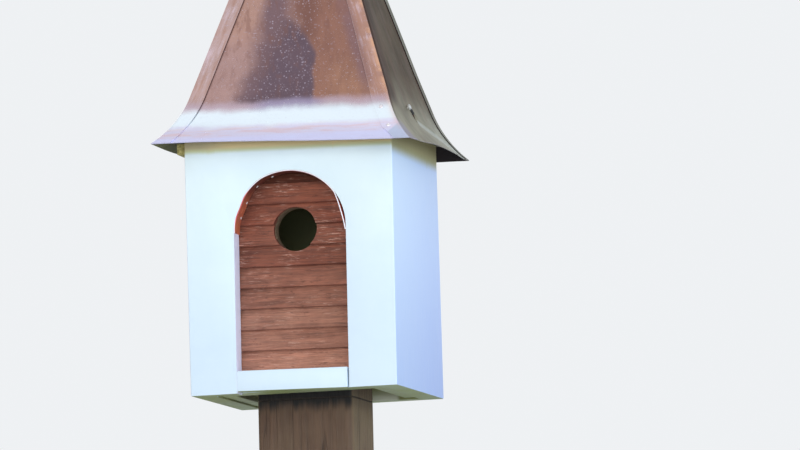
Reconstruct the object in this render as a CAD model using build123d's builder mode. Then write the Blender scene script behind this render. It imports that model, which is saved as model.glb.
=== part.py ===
from build123d import *
import math
import os

os.makedirs("parts", exist_ok=True)

# Driving sizes in millimetres. Z is up, the front looks along -Y,
# and the origin is the middle of the post's foot at ground level.

# Post and what carries the box
POST_SIZE = 89.0
POST_HEIGHT = 1220.0
POST_EDGE_RADIUS = 6.0
BLOCK_PROUD = 4.0

# Box body
BODY_SIZE = 192.0
BOARD_THICKNESS = 19.0
WALL_HEIGHT = 236.0
ARCH_RADIUS = 51.8
ARCH_SPRING = 147.3
SILL_LIFT = 1.5
SILL_END_GAP = 1.5
FLOOR_THICKNESS = 12.0

# Notch in the bottom board for the mounting block
NOTCH_SIDE_STRIP = 13.0
NOTCH_FRONT_CLEARANCE = 5.5

# Lapped cedar boards behind the arch
LAP_PITCH = 18.95
LAP_OVERLAP = 6.0
LAP_THICKNESS = 4.4
INNER_FRONT_THICKNESS = 12.0
ENTRANCE_DIAMETER = 40.0

# Metal strip that lines the arch
LINER_THICKNESS = 1.0
LINER_TAIL = 3.5
LINER_SPRING_ANGLE = 42.0
LINER_SPRING_GAP = 1.8

# Cleat under the left eave
CLEAT_THICKNESS = 8.0
CLEAT_HEIGHT = 10.0
CLEAT_LENGTH = 60.0
CLEAT_DROP = 18.5
CLEAT_SETBACK = 5.0

# Bell-cast sheet roof
OVERHANG = 24.0
EAVE_DROP = 12.0
ROOF_RISE = 316.0
FLARE_RISE = 42.0
FLARE_RUN = 28.2
SHEET_THICKNESS = 0.8
SEAM_WIDTH = 13.0
ROOF_BASE_THICKNESS = 18.0
TIP_HALF = 6.0
TIP_SKIRT = 14.0

# Derived sizes
half_body = BODY_SIZE / 2
half_inner = half_body - BOARD_THICKNESS
half_post = POST_SIZE / 2
box_z = POST_HEIGHT + BLOCK_PROUD
bottom_top = BOARD_THICKNESS
block_height = BLOCK_PROUD + bottom_top
lap_count = int((WALL_HEIGHT - bottom_top - LAP_OVERLAP) // LAP_PITCH)
lap_slope = LAP_THICKNESS / LAP_PITCH
lap_depth = LAP_THICKNESS + lap_slope * (LAP_PITCH + LAP_OVERLAP)
inner_front_y = -half_inner + lap_depth
chamber_front_y = inner_front_y + INNER_FRONT_THICKNESS
eave_half = half_body + OVERHANG
eave_z = WALL_HEIGHT - EAVE_DROP
apex_z = eave_z + ROOF_RISE
flare_z = eave_z + FLARE_RISE
plan = Plane.XY.offset(box_z)


def front_plane(y):
    """Upright plane across the front: local X is right, local Y is up from the box bottom."""
    return Plane(origin=(0, y, box_z), x_dir=(1, 0, 0), z_dir=(0, -1, 0))


def side_plane(x):
    """Upright plane along the side: local X runs to the back, local Y is up."""
    return Plane(origin=(x, 0, box_z), x_dir=(0, 1, 0), z_dir=(1, 0, 0))


# Post, square with eased edges
with BuildPart() as post:
    with BuildSketch():
        RectangleRounded(POST_SIZE, POST_SIZE, POST_EDGE_RADIUS)
    extrude(amount=POST_HEIGHT)
post.part.label = "post"
export_step(post.part, "parts/post.step")

# Mounting block on the post's top, up into the bottom of the box
with BuildPart() as mount_block:
    with BuildSketch(Plane.XY.offset(POST_HEIGHT)):
        RectangleRounded(POST_SIZE, POST_SIZE, POST_EDGE_RADIUS)
    extrude(amount=block_height)
mount_block.part.label = "mount_block"
export_step(mount_block.part, "parts/mount_block.step")

# Bottom board, notched round the block and open at the back
notch_front_y = -half_post - NOTCH_FRONT_CLEARANCE
notch_half = half_inner - NOTCH_SIDE_STRIP
with BuildPart() as bottom_board:
    with BuildSketch(plan.offset(SILL_LIFT)):
        Rectangle(2 * half_inner, 2 * half_inner)
        with Locations((0, (notch_front_y + half_inner) / 2)):
            Rectangle(2 * notch_half, half_inner - notch_front_y, mode=Mode.SUBTRACT)
    extrude(amount=bottom_top - SILL_LIFT)
bottom_board.part.label = "bottom_board"
export_step(bottom_board.part, "parts/bottom_board.step")

# Nest floor on the bottom board and the block
with BuildPart() as nest_floor:
    with BuildSketch(plan.offset(bottom_top)):
        with Locations((0, (chamber_front_y + half_inner) / 2)):
            Rectangle(2 * half_inner, half_inner - chamber_front_y)
    extrude(amount=FLOOR_THICKNESS)
nest_floor.part.label = "nest_floor"
export_step(nest_floor.part, "parts/nest_floor.step")

# Side and back walls, mitred at the corners
wall_outline = [
    (-half_body, -half_body),
    (half_body, -half_body),
    (half_inner, -half_inner),
    (-half_inner, -half_inner),
]
for wall_name, turn in (("right_wall", 90), ("back_wall", 180), ("left_wall", 270)):
    with BuildPart() as wall:
        with BuildSketch(plan.rotated((0, 0, turn))):
            with BuildLine():
                Polyline(*wall_outline, close=True)
            make_face()
        extrude(amount=WALL_HEIGHT)
    wall.part.label = wall_name
    export_step(wall.part, f"parts/{wall_name}.step")

# Front wall with the round-headed opening that runs down through its bottom
with BuildPart() as front_wall:
    with BuildSketch(plan):
        with BuildLine():
            Polyline(*wall_outline, close=True)
        make_face()
    extrude(amount=WALL_HEIGHT)
    with BuildSketch(front_plane(-half_body)):
        with Locations((0, ARCH_SPRING)):
            Circle(ARCH_RADIUS)
        with Locations((0, ARCH_SPRING / 2)):
            Rectangle(2 * ARCH_RADIUS, ARCH_SPRING)
    extrude(amount=-BOARD_THICKNESS, mode=Mode.SUBTRACT)
front_wall.part.label = "front_wall"
export_step(front_wall.part, "parts/front_wall.step")

# Sill rail between the legs, with the gap seen at its right end
sill_length = 2 * ARCH_RADIUS - SILL_END_GAP
with BuildPart() as sill_rail:
    with BuildSketch(front_plane(-half_body)):
        with Locations((-SILL_END_GAP / 2, (SILL_LIFT + bottom_top) / 2)):
            Rectangle(sill_length, bottom_top - SILL_LIFT)
    extrude(amount=-BOARD_THICKNESS)
sill_rail.part.label = "sill_rail"
export_step(sill_rail.part, "parts/sill_rail.step")

# Inner front panel that closes the nest chamber, with the round entrance
with BuildPart() as inner_front:
    with BuildSketch(front_plane(inner_front_y)):
        with Locations((0, (bottom_top + WALL_HEIGHT) / 2)):
            Rectangle(2 * half_inner, WALL_HEIGHT - bottom_top)
        with Locations((0, ARCH_SPRING)):
            Circle(ENTRANCE_DIAMETER / 2, mode=Mode.SUBTRACT)
    extrude(amount=-INNER_FRONT_THICKNESS)
inner_front.part.label = "inner_front"
export_step(inner_front.part, "parts/inner_front.step")

# Lapped boards, each leaning back behind the butt of the one above
lap_front_y = -half_inner
lap_height = LAP_PITCH + LAP_OVERLAP
lean = lap_slope * lap_height
for number in range(lap_count):
    butt_z = bottom_top + number * LAP_PITCH
    with BuildPart() as lap_board:
        with BuildSketch(side_plane(0)):
            with BuildLine():
                Polyline(
                    (lap_front_y, butt_z),
                    (lap_front_y + LAP_THICKNESS, butt_z),
                    (lap_front_y + LAP_THICKNESS + lean, butt_z + lap_height),
                    (lap_front_y + lean, butt_z + lap_height),
                    close=True,
                )
            make_face()
        extrude(amount=half_inner, both=True)
        if abs(butt_z + lap_height / 2 - ARCH_SPRING) < (lap_height + ENTRANCE_DIAMETER) / 2:
            with BuildSketch(front_plane(lap_front_y)):
                with Locations((0, ARCH_SPRING)):
                    Circle(ENTRANCE_DIAMETER / 2)
            extrude(amount=-lap_depth, mode=Mode.SUBTRACT)
    board_name = f"lap_board_{number + 1:02d}"
    lap_board.part.label = board_name
    export_step(lap_board.part, f"parts/{board_name}.step")

# Strip lining the arch, pulled off it on the right between crown and spring
liner_radius = ARCH_RADIUS - LINER_THICKNESS / 2
angle = math.radians(LINER_SPRING_ANGLE)
lift_point = (liner_radius * math.cos(angle), ARCH_SPRING + liner_radius * math.sin(angle))
slack_radius = liner_radius - LINER_SPRING_GAP
slack_point = (
    slack_radius * math.cos(angle / 2),
    ARCH_SPRING + slack_radius * math.sin(angle / 2),
)
with BuildPart() as arch_liner:
    with BuildSketch(front_plane(-half_body)):
        with BuildLine():
            Line((-liner_radius, ARCH_SPRING - LINER_TAIL), (-liner_radius, ARCH_SPRING))
            ThreePointArc((-liner_radius, ARCH_SPRING), (0, ARCH_SPRING + liner_radius), lift_point)
            ThreePointArc(lift_point, slack_point, (liner_radius, ARCH_SPRING))
        trace(line_width=LINER_THICKNESS)
    extrude(amount=-BOARD_THICKNESS)
arch_liner.part.label = "arch_liner"
export_step(arch_liner.part, "parts/arch_liner.step")

# Cleat on the left wall under the eave
cleat_y = CLEAT_SETBACK - half_body + CLEAT_LENGTH / 2
cleat_z = WALL_HEIGHT - CLEAT_DROP + CLEAT_HEIGHT / 2
with BuildPart() as left_eave_cleat:
    with BuildSketch(side_plane(-half_body)):
        with Locations((cleat_y, cleat_z)):
            Rectangle(CLEAT_LENGTH, CLEAT_HEIGHT)
    extrude(amount=-CLEAT_THICKNESS)
left_eave_cleat.part.label = "left_eave_cleat"
export_step(left_eave_cleat.part, "parts/left_eave_cleat.step")

# The roof's outline is one straight rafter line with a tangent flare at its foot.
# A level counts sheets outward from the underside of the copper.
rafter_run = eave_half - FLARE_RUN
rafter_rise = apex_z - flare_z
rafter_length = math.hypot(rafter_run, rafter_rise)
out_x = rafter_rise / rafter_length
out_z = rafter_run / rafter_length
flare_chord = math.hypot(FLARE_RUN, FLARE_RISE)
flare_radius = flare_chord**2 / (2 * (FLARE_RUN * out_x - FLARE_RISE * out_z))
flare_centre = (rafter_run + flare_radius * out_x, flare_z + flare_radius * out_z)


def roof_outline(side, level, shift):
    """Eave, flare middle, flare top and apex of one side's outline at a level of sheet."""
    centre_x, centre_z = flare_centre
    radius = flare_radius - level * SHEET_THICKNESS
    eave_x = centre_x - math.sqrt(radius**2 - (centre_z - eave_z) ** 2)
    top_x = centre_x - radius * out_x
    top_z = centre_z - radius * out_z
    start = math.atan2(eave_z - centre_z, eave_x - centre_x)
    end = math.atan2(top_z - centre_z, top_x - centre_x)
    middle = (start + end) / 2
    points = [
        (eave_x, eave_z),
        (centre_x + radius * math.cos(middle), centre_z + radius * math.sin(middle)),
        (top_x, top_z),
        (0.0, apex_z + level * SHEET_THICKNESS / out_z),
    ]
    return [(side * (x - shift), z) for x, z in points]


def roof_region(plane, left, right):
    """Solid through the roof between two outlines, each a side, a level and a shift."""
    left_eave, left_flare, left_top, left_apex = roof_outline(*left)
    right_eave, right_flare, right_top, right_apex = roof_outline(*right)
    with BuildPart() as region:
        with BuildSketch(plane):
            with BuildLine():
                ThreePointArc(right_eave, right_flare, right_top)
                Line(right_top, right_apex)
                if right_apex != left_apex:
                    Line(right_apex, left_apex)
                Line(left_apex, left_top)
                ThreePointArc(left_top, left_flare, left_eave)
                Line(left_eave, right_eave)
            make_face()
        extrude(amount=2 * eave_half, both=True)
    return region.part


across = front_plane(0)
along = side_plane(0)
panel_top = plan.offset(apex_z - TIP_HALF * rafter_rise / rafter_run)

# Wooden roof base on the walls, its edges shaped to the inside of the sheets
base_across = roof_region(across, (-1, 0, 0), (1, 0, 0))
base_along = roof_region(along, (-1, 0, 0), (1, 0, 0))
with BuildPart() as roof_base:
    with BuildSketch(plan.offset(WALL_HEIGHT)):
        Rectangle(2 * eave_half, 2 * eave_half)
    extrude(amount=ROOF_BASE_THICKNESS)
    add(base_across, mode=Mode.INTERSECT)
    add(base_along, mode=Mode.INTERSECT)
roof_base.part.label = "roof_base"
export_step(roof_base.part, "parts/roof_base.step")

# Front roof panel, flat to both hips, under the side panels' seams
front_sheet = roof_region(along, (-1, 1, 0), (-1, 0, 0))
with BuildPart() as roof_front:
    add(front_sheet)
    add(base_across, mode=Mode.INTERSECT)
    split(bisect_by=panel_top, keep=Keep.BOTTOM)
roof_front.part.label = "roof_front"
export_step(roof_front.part, "parts/roof_front.step")

# Right roof panel with its seam folded over the front panel
side_sheet = roof_region(across, (1, 0, 0), (1, 1, 0))
side_reach = roof_region(along, (-1, 2, 0), (1, 0, 0))
side_seam = roof_region(along, (-1, 2, 0), (-1, 1, 0))
side_seam_reach = roof_region(across, (1, 0, SEAM_WIDTH), (1, 1, 0))
with BuildPart() as seam_over_front:
    add(side_seam)
    add(side_seam_reach, mode=Mode.INTERSECT)
    split(bisect_by=Plane.YZ, keep=Keep.TOP)
with BuildPart() as roof_right:
    add(side_sheet)
    add(side_reach, mode=Mode.INTERSECT)
    add(seam_over_front.part)
    split(bisect_by=panel_top, keep=Keep.BOTTOM)
roof_right.part.label = "roof_right"
export_step(roof_right.part, "parts/roof_right.step")

# Left roof panel, the mirror of the right one
with BuildPart() as roof_left:
    mirror(roof_right.part, about=Plane.YZ)
roof_left.part.label = "roof_left"
export_step(roof_left.part, "parts/roof_left.step")

# Back roof panel with its two seams folded over the side panels
back_sheet = roof_region(along, (1, 0, 0), (1, 1, 0))
back_reach = roof_region(across, (-1, 2, 0), (1, 2, 0))
back_seam = roof_region(across, (1, 1, 0), (1, 2, 0))
back_seam_reach = roof_region(along, (1, 0, SEAM_WIDTH), (1, 1, 0))
with BuildPart() as seam_over_side:
    add(back_seam)
    add(back_seam_reach, mode=Mode.INTERSECT)
    split(bisect_by=Plane.XZ, keep=Keep.BOTTOM)
with BuildPart() as roof_back:
    add(back_sheet)
    add(back_reach, mode=Mode.INTERSECT)
    add(seam_over_side.part)
    mirror(seam_over_side.part, about=Plane.YZ)
    split(bisect_by=panel_top, keep=Keep.BOTTOM)
roof_back.part.label = "roof_back"
export_step(roof_back.part, "parts/roof_back.step")

# Small four-sided cap that closes the panels' ends at the tip
tip_across = roof_region(across, (-1, 3, 0), (1, 3, 0))
tip_along = roof_region(along, (-1, 3, 0), (1, 3, 0))
hollow_across = roof_region(across, (-1, 2, 0), (1, 2, 0))
hollow_along = roof_region(along, (-1, 2, 0), (1, 2, 0))
with BuildPart() as tip_hollow:
    add(hollow_across)
    add(hollow_along, mode=Mode.INTERSECT)
    split(bisect_by=panel_top, keep=Keep.BOTTOM)
with BuildPart() as roof_tip:
    add(tip_across)
    add(tip_along, mode=Mode.INTERSECT)
    split(bisect_by=panel_top.offset(-TIP_SKIRT), keep=Keep.TOP)
    add(tip_hollow.part, mode=Mode.SUBTRACT)
roof_tip.part.label = "roof_tip"
export_step(roof_tip.part, "parts/roof_tip.step")
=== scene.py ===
"""Looks of the nest box on its post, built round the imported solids.

Lengths are in metres in the part's own frame: +Z up, the arched front looks along -Y,
and the origin is the middle of the post's foot at ground level.
"""

from __future__ import annotations

import logging
import math
from dataclasses import dataclass, field
from enum import Enum
from typing import Callable, Iterable, Sequence, Union

import bmesh
import bpy
from mathutils import Matrix, Vector, noise


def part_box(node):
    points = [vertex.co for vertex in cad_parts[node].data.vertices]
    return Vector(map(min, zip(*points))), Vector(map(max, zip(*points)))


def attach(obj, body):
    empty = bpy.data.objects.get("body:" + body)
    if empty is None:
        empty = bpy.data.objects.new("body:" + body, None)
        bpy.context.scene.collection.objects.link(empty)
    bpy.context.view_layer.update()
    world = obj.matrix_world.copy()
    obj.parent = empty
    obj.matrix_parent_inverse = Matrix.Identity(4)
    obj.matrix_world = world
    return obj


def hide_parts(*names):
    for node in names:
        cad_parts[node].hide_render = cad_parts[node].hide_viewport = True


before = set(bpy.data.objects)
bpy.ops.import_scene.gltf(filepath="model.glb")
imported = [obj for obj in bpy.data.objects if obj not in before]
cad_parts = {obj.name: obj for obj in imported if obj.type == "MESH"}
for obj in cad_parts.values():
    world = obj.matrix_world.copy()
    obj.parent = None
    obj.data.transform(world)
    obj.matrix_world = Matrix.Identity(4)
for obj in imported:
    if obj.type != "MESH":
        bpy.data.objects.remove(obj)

LOG = logging.getLogger("nest_box")
BODY = "root"
NEAR = 1e-5  # closer than this, two places are one
OVERSHOOT = 0.01  # how far a cutter reaches past what it cuts

Colour = tuple[float, float, float]
Socket = bpy.types.NodeSocket
Value = Union[float, tuple, Socket, "Signal"]


# ---------------------------------------------------------------- shader wiring


class Grain(Enum):
    """Which way the wood's fibres run, as the stretch given to its texture."""

    ALONG_X = (0.045, 1.0, 1.0)
    ALONG_Y = (1.0, 0.045, 1.0)
    ALONG_Z = (1.0, 1.0, 0.045)


def laid_sum(operation: str, turned: bool = False) -> Callable:
    """Makes an operator that lays one Math node.

    Args:
        operation: Blender's name of the sum.
        turned: Whether the signal comes second in it.

    Returns:
        The operator.
    """

    def method(signal: Signal, other: Value = 0.0) -> Signal:
        """Lays the sum of a signal and another value."""
        first, second = (other, signal) if turned else (signal, other)
        return signal.wiring.maths(operation, first, second)

    return method


class Signal:
    """A value in a shader tree, which plain sums carry on."""

    def __init__(self, wiring: Wiring, socket: Socket) -> None:
        """Keeps the value's socket and the wiring of its tree."""
        self.wiring = wiring
        self.socket = socket

    __add__, __radd__ = laid_sum("ADD"), laid_sum("ADD", True)
    __sub__, __rsub__ = laid_sum("SUBTRACT"), laid_sum("SUBTRACT", True)
    __mul__, __rmul__ = laid_sum("MULTIPLY"), laid_sum("MULTIPLY", True)
    __lt__, __gt__ = laid_sum("LESS_THAN"), laid_sum("GREATER_THAN")
    __pow__, __abs__ = laid_sum("POWER"), laid_sum("ABSOLUTE")

    def held(self) -> Signal:
        """Returns this sum, held between 0 and 1."""
        self.socket.node.use_clamp = True
        return self


class Laid:
    """A node in its tree, whose outputs are read by name or number."""

    def __init__(self, wiring: Wiring, node: bpy.types.Node) -> None:
        """Keeps the node and the wiring of its tree."""
        self.wiring = wiring
        self.node = node

    def __getitem__(self, key: Union[str, int]) -> Signal:
        """Returns one output."""
        return Signal(self.wiring, self.node.outputs[key])


class Wiring:
    """Short calls for laying nodes and wires in one shader tree."""

    def __init__(self, tree: bpy.types.NodeTree) -> None:
        """Keeps the tree that the calls work on, and its shader where it has one."""
        self.tree = tree
        self.shader = tree.nodes.get("Principled BSDF")

    def node(self, kind: str, inputs: dict | None = None, **settings: object) -> Laid:
        """Lays one node.

        Args:
            kind: Blender's name of the node type, without its ShaderNode.
            inputs: Input name or number to a value or to the signal that feeds it.
            **settings: Properties of the node itself.

        Returns:
            The node.
        """
        item = self.tree.nodes.new(f"ShaderNode{kind}")
        for name, value in settings.items():
            setattr(item, name, value)
        for name, value in (inputs or {}).items():
            self.feed(item.inputs[name], value)
        return Laid(self, item)

    def feed(self, socket: Socket, value: Value) -> None:
        """Wires a socket, or sets its own value.

        Args:
            socket: The input to fill.
            value: A signal, a source socket, a number or a tuple.
        """
        if isinstance(value, Signal):
            value = value.socket
        if isinstance(value, bpy.types.NodeSocket):
            self.tree.links.new(value, socket)
        elif socket.type == "RGBA" and len(value) == 3:
            socket.default_value = (*value, 1.0)
        else:
            socket.default_value = value

    def coat(self, name: str, value: Value) -> None:
        """Feeds one of the shader's own inputs, or sets it."""
        self.feed(self.shader.inputs[name], value)

    def bump(self, height: Value, depth: float, strength: float) -> None:
        """Gives the shader its surface relief.

        Args:
            height: The relief, from 0 to 1.
            depth: How deep the relief is, in metres.
            strength: Share of the relief that shows.
        """
        relief = self.node("Bump", {"Height": height, "Distance": depth, "Strength": strength})
        self.coat("Normal", relief[0])

    def maths(self, operation: str, a: Value, b: Value = 0.0) -> Signal:
        """Returns one sum of Blender's own kind."""
        return self.node("Math", {0: a, 1: b}, operation=operation)[0]

    def most(self, a: Value, b: Value) -> Signal:
        """Returns the larger of two values."""
        return self.maths("MAXIMUM", a, b)

    def vector(self, operation: str, a: Value, b: Value) -> Signal:
        """Returns one vector sum of Blender's own kind."""
        return self.node("VectorMath", {0: a, 1: b}, operation=operation)[0]

    def looking(self, direction: Value) -> Signal:
        """Returns how squarely the surface looks in a direction, from -1 to 1."""
        normal = self.node("NewGeometry")["Normal"]
        return self.node("VectorMath", {0: normal, 1: direction}, operation="DOT_PRODUCT")[1]

    def length(self, vector: Value) -> Signal:
        """Returns a vector's length."""
        return self.node("VectorMath", {0: vector}, operation="LENGTH")[1]

    def split(self, vector: Value) -> list[Signal]:
        """Returns the three parts of a vector."""
        parts = self.node("SeparateXYZ", {0: vector})
        return [parts[i] for i in range(3)]

    def join(self, x: Value, y: Value, z: Value) -> Signal:
        """Returns a vector of three parts."""
        return self.node("CombineXYZ", {0: x, 1: y, 2: z})[0]

    def colour(self, red: Value, green: Value, blue: Value) -> Signal:
        """Returns a colour of three parts."""
        return self.node("CombineColor", {0: red, 1: green, 2: blue})[0]

    def layer(self, name: str) -> Signal:
        """Returns a mask that the mesh itself carries."""
        return self.node("Attribute", attribute_name=name)["Fac"]

    def position(self) -> Signal:
        """Returns the place on the object, in metres."""
        return self.node("TexCoord")["Object"]

    def blend(self, factor: Value, a: Value, b: Value, mode: str = "MIX") -> Signal:
        """Mixes two colours.

        Args:
            factor: Share of the second colour.
            a: First colour.
            b: Second colour.
            mode: Blender's name of the blend mode.

        Returns:
            The mixed colour.
        """
        inputs = {0: factor, 6: a, 7: b}
        return self.node("Mix", inputs, data_type="RGBA", blend_type=mode, clamp_factor=True)[2]

    def tint(self, tone: Value, by: Value) -> Signal:
        """Returns a colour multiplied by another."""
        return self.blend(1.0, tone, by, "MULTIPLY")

    def fade(self, value: Value, low: Value, high: Value, start: Value = 0.0, end: Value = 1.0) -> Signal:
        """Carries a value smoothly from one range to another and stops at its ends.

        Args:
            value: What is carried over.
            low: Where the result is start.
            high: Where the result is end.
            start: Result at low.
            end: Result at high.

        Returns:
            The carried value.
        """
        inputs = {0: value, 1: low, 2: high, 3: start, 4: end}
        return self.node("MapRange", inputs, interpolation_type="SMOOTHSTEP")[0]

    def cloud(
        self, vector: Value, scale: Value, detail: float = 3.0, rough: float = 0.5, warp: float = 0.0
    ) -> Signal:
        """Lays a noise texture.

        Args:
            vector: Where the texture is read.
            scale: Waves to the metre.
            detail: Octaves.
            rough: Strength of the finer octaves.
            warp: How far the texture bends itself.

        Returns:
            The noise, from 0 to 1.
        """
        inputs = {"Vector": vector, "Scale": scale, "Detail": detail, "Roughness": rough, "Distortion": warp}
        return self.node("TexNoise", inputs)[0]

    def place(self, group: bpy.types.NodeTree, **inputs: Value) -> Laid:
        """Returns a shared effect, placed with this material's own values."""
        return self.node("Group", inputs, node_tree=group)


class Effects:
    """The shader effects that more than one finish uses, each a node group built once."""

    def __init__(self) -> None:
        """Builds the shared groups."""
        self.grain = self.build_grain()
        self.speckle = self.build_speckle()
        self.streaks = self.build_streaks()
        self.edge_wear = self.build_edge_wear()
        self.weather = self.build_weather()
        self.arch_distance = self.build_arch_distance()

    @staticmethod
    def open_group(name: str, inputs: dict[str, Value], outputs: Iterable[str]) -> tuple[Wiring, Callable, Callable]:
        """Starts a group and its sockets.

        Args:
            name: The group's name.
            inputs: Input names and their default values, a tuple for a vector.
            outputs: Names of the values that it puts out.

        Returns:
            The wiring, a function that reads an input, and one that fills an output.
        """
        tree = bpy.data.node_groups.new(name, "ShaderNodeTree")
        for label, value in inputs.items():
            kind = "NodeSocketVector" if isinstance(value, tuple) else "NodeSocketFloat"
            socket = tree.interface.new_socket(label, in_out="INPUT", socket_type=kind)
            socket.default_value = value
        for label in outputs:
            tree.interface.new_socket(label, in_out="OUTPUT", socket_type="NodeSocketFloat")
        w = Wiring(tree)
        source, sink = (tree.nodes.new(f"NodeGroup{end}") for end in ("Input", "Output"))
        return (
            w,
            lambda label: Signal(w, source.outputs[label]),
            lambda label, value: w.feed(sink.inputs[label], value),
        )

    def build_grain(self) -> bpy.types.NodeTree:
        """Wood grain: broad bands, fine fibres and pale flecks along the fibre direction."""
        w, take, give = self.open_group(
            "wood_grain",
            {"Position": (0.0, 0.0, 0.0), "Stretch": Grain.ALONG_X.value, "Scale": 400.0, "Seed": 0.0},
            ("Bands", "Fibres", "Flecks"),
        )
        spot = w.vector("MULTIPLY", take("Position"), take("Stretch"))
        shift = w.join(take("Seed"), take("Seed"), take("Seed"))
        spot = w.vector("ADD", spot, shift)
        bands = w.cloud(spot, take("Scale"), 4.0, 0.55, 0.7)
        fibres = w.cloud(spot, take("Scale") * 4.5, 3.0, 0.65)
        patches = w.cloud(take("Position"), take("Scale") * 0.11, 2.0)
        broken = w.vector("MULTIPLY", take("Position"), w.vector("ADD", take("Stretch"), (0.09, 0.09, 0.09)))
        flecks = w.cloud(w.vector("ADD", broken, shift), take("Scale") * 2.0, 5.0, 0.7, 0.3)
        flecks = w.fade(flecks, 0.53, 0.68) * w.fade(patches, 0.38, 0.62)
        give("Bands", w.fade(bands, 0.3, 0.7))
        give("Fibres", fibres)
        give("Flecks", flecks)
        return w.tree

    def build_speckle(self) -> bpy.types.NodeTree:
        """Small round spots, a share of them left out at random."""
        w, take, give = self.open_group(
            "speckle",
            {"Position": (0.0, 0.0, 0.0), "Scale": 200.0, "Size": 0.25, "Share": 0.4},
            ("Spots",),
        )
        cells = w.node("TexVoronoi", {"Vector": take("Position"), "Scale": take("Scale")})
        tint = w.node("SeparateColor", {0: cells["Color"]})
        kept = tint[0] < take("Share")
        reach = take("Size") * w.fade(tint[1], 0.0, 1.0, 0.35, 1.0)
        spot = w.fade(cells["Distance"], reach, reach * 0.45)
        give("Spots", kept * spot * tint[2])
        return w.tree

    def build_streaks(self) -> bpy.types.NodeTree:
        """Runs that rain leaves down a face."""
        w, take, give = self.open_group(
            "rain_streaks",
            {"Position": (0.0, 0.0, 0.0), "Scale": 60.0, "Low": 0.45, "High": 0.7},
            ("Streaks",),
        )
        spot = w.vector("MULTIPLY", take("Position"), (1.0, 1.0, 0.12))
        give("Streaks", w.fade(w.cloud(spot, take("Scale"), 4.0, 0.6, 0.4), take("Low"), take("High")))
        return w.tree

    def build_edge_wear(self) -> bpy.types.NodeTree:
        """A mask that is 1 on the sharp edges, broken up by a little noise."""
        w, take, give = self.open_group(
            "edge_wear",
            {"Position": (0.0, 0.0, 0.0), "Radius": 0.001, "Breakup": 300.0},
            ("Wear",),
        )
        rounded = w.node("Bevel", {"Radius": take("Radius")}, samples=6)
        mask = w.fade(1.0 - w.looking(rounded[0]), 0.015, 0.14)
        chips = w.fade(w.cloud(take("Position"), take("Breakup"), 3.0, 0.6), 0.35, 0.65, 0.45, 1.0)
        give("Wear", mask * chips)
        return w.tree

    def build_weather(self) -> bpy.types.NodeTree:
        """Masks for what looks down, where the paint's dirty olive and painted green bounce light go, and for broad
        uneven fading.
        """
        w, take, give = self.open_group(
            "weathering",
            {"Position": (0.0, 0.0, 0.0), "Scale": 20.0},
            ("Underside", "Mottle"),
        )
        up = w.looking((0.0, 0.0, 1.0))
        mottle = w.cloud(take("Position"), take("Scale"), 4.0, 0.6)
        give("Underside", w.fade(up, -0.35, -0.8) * w.fade(mottle, 0.2, 0.75, 0.75, 1.0))
        give("Mottle", w.fade(mottle, 0.25, 0.75))
        return w.tree

    def build_arch_distance(self) -> bpy.types.NodeTree:
        """Distance from the middle of the arch's head, in the plane of the front."""
        w, take, give = self.open_group("arch_distance", {"Position": (0.0, 0.0, 0.0), "Spring": 1.0}, ("Distance",))
        middle = w.join(0.0, 0.0, take("Spring"))
        away = w.vector("MULTIPLY", w.vector("SUBTRACT", take("Position"), middle), (1.0, 0.0, 1.0))
        give("Distance", w.length(away))
        return w.tree


def open_material(name: str) -> tuple[bpy.types.Material, Wiring]:
    """Starts a material.

    Args:
        name: The material's name.

    Returns:
        The material and its wiring.
    """
    material = bpy.data.materials.new(name)
    material.use_nodes = True
    return material, Wiring(material.node_tree)


# ---------------------------------------------------------------- finishes


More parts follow.
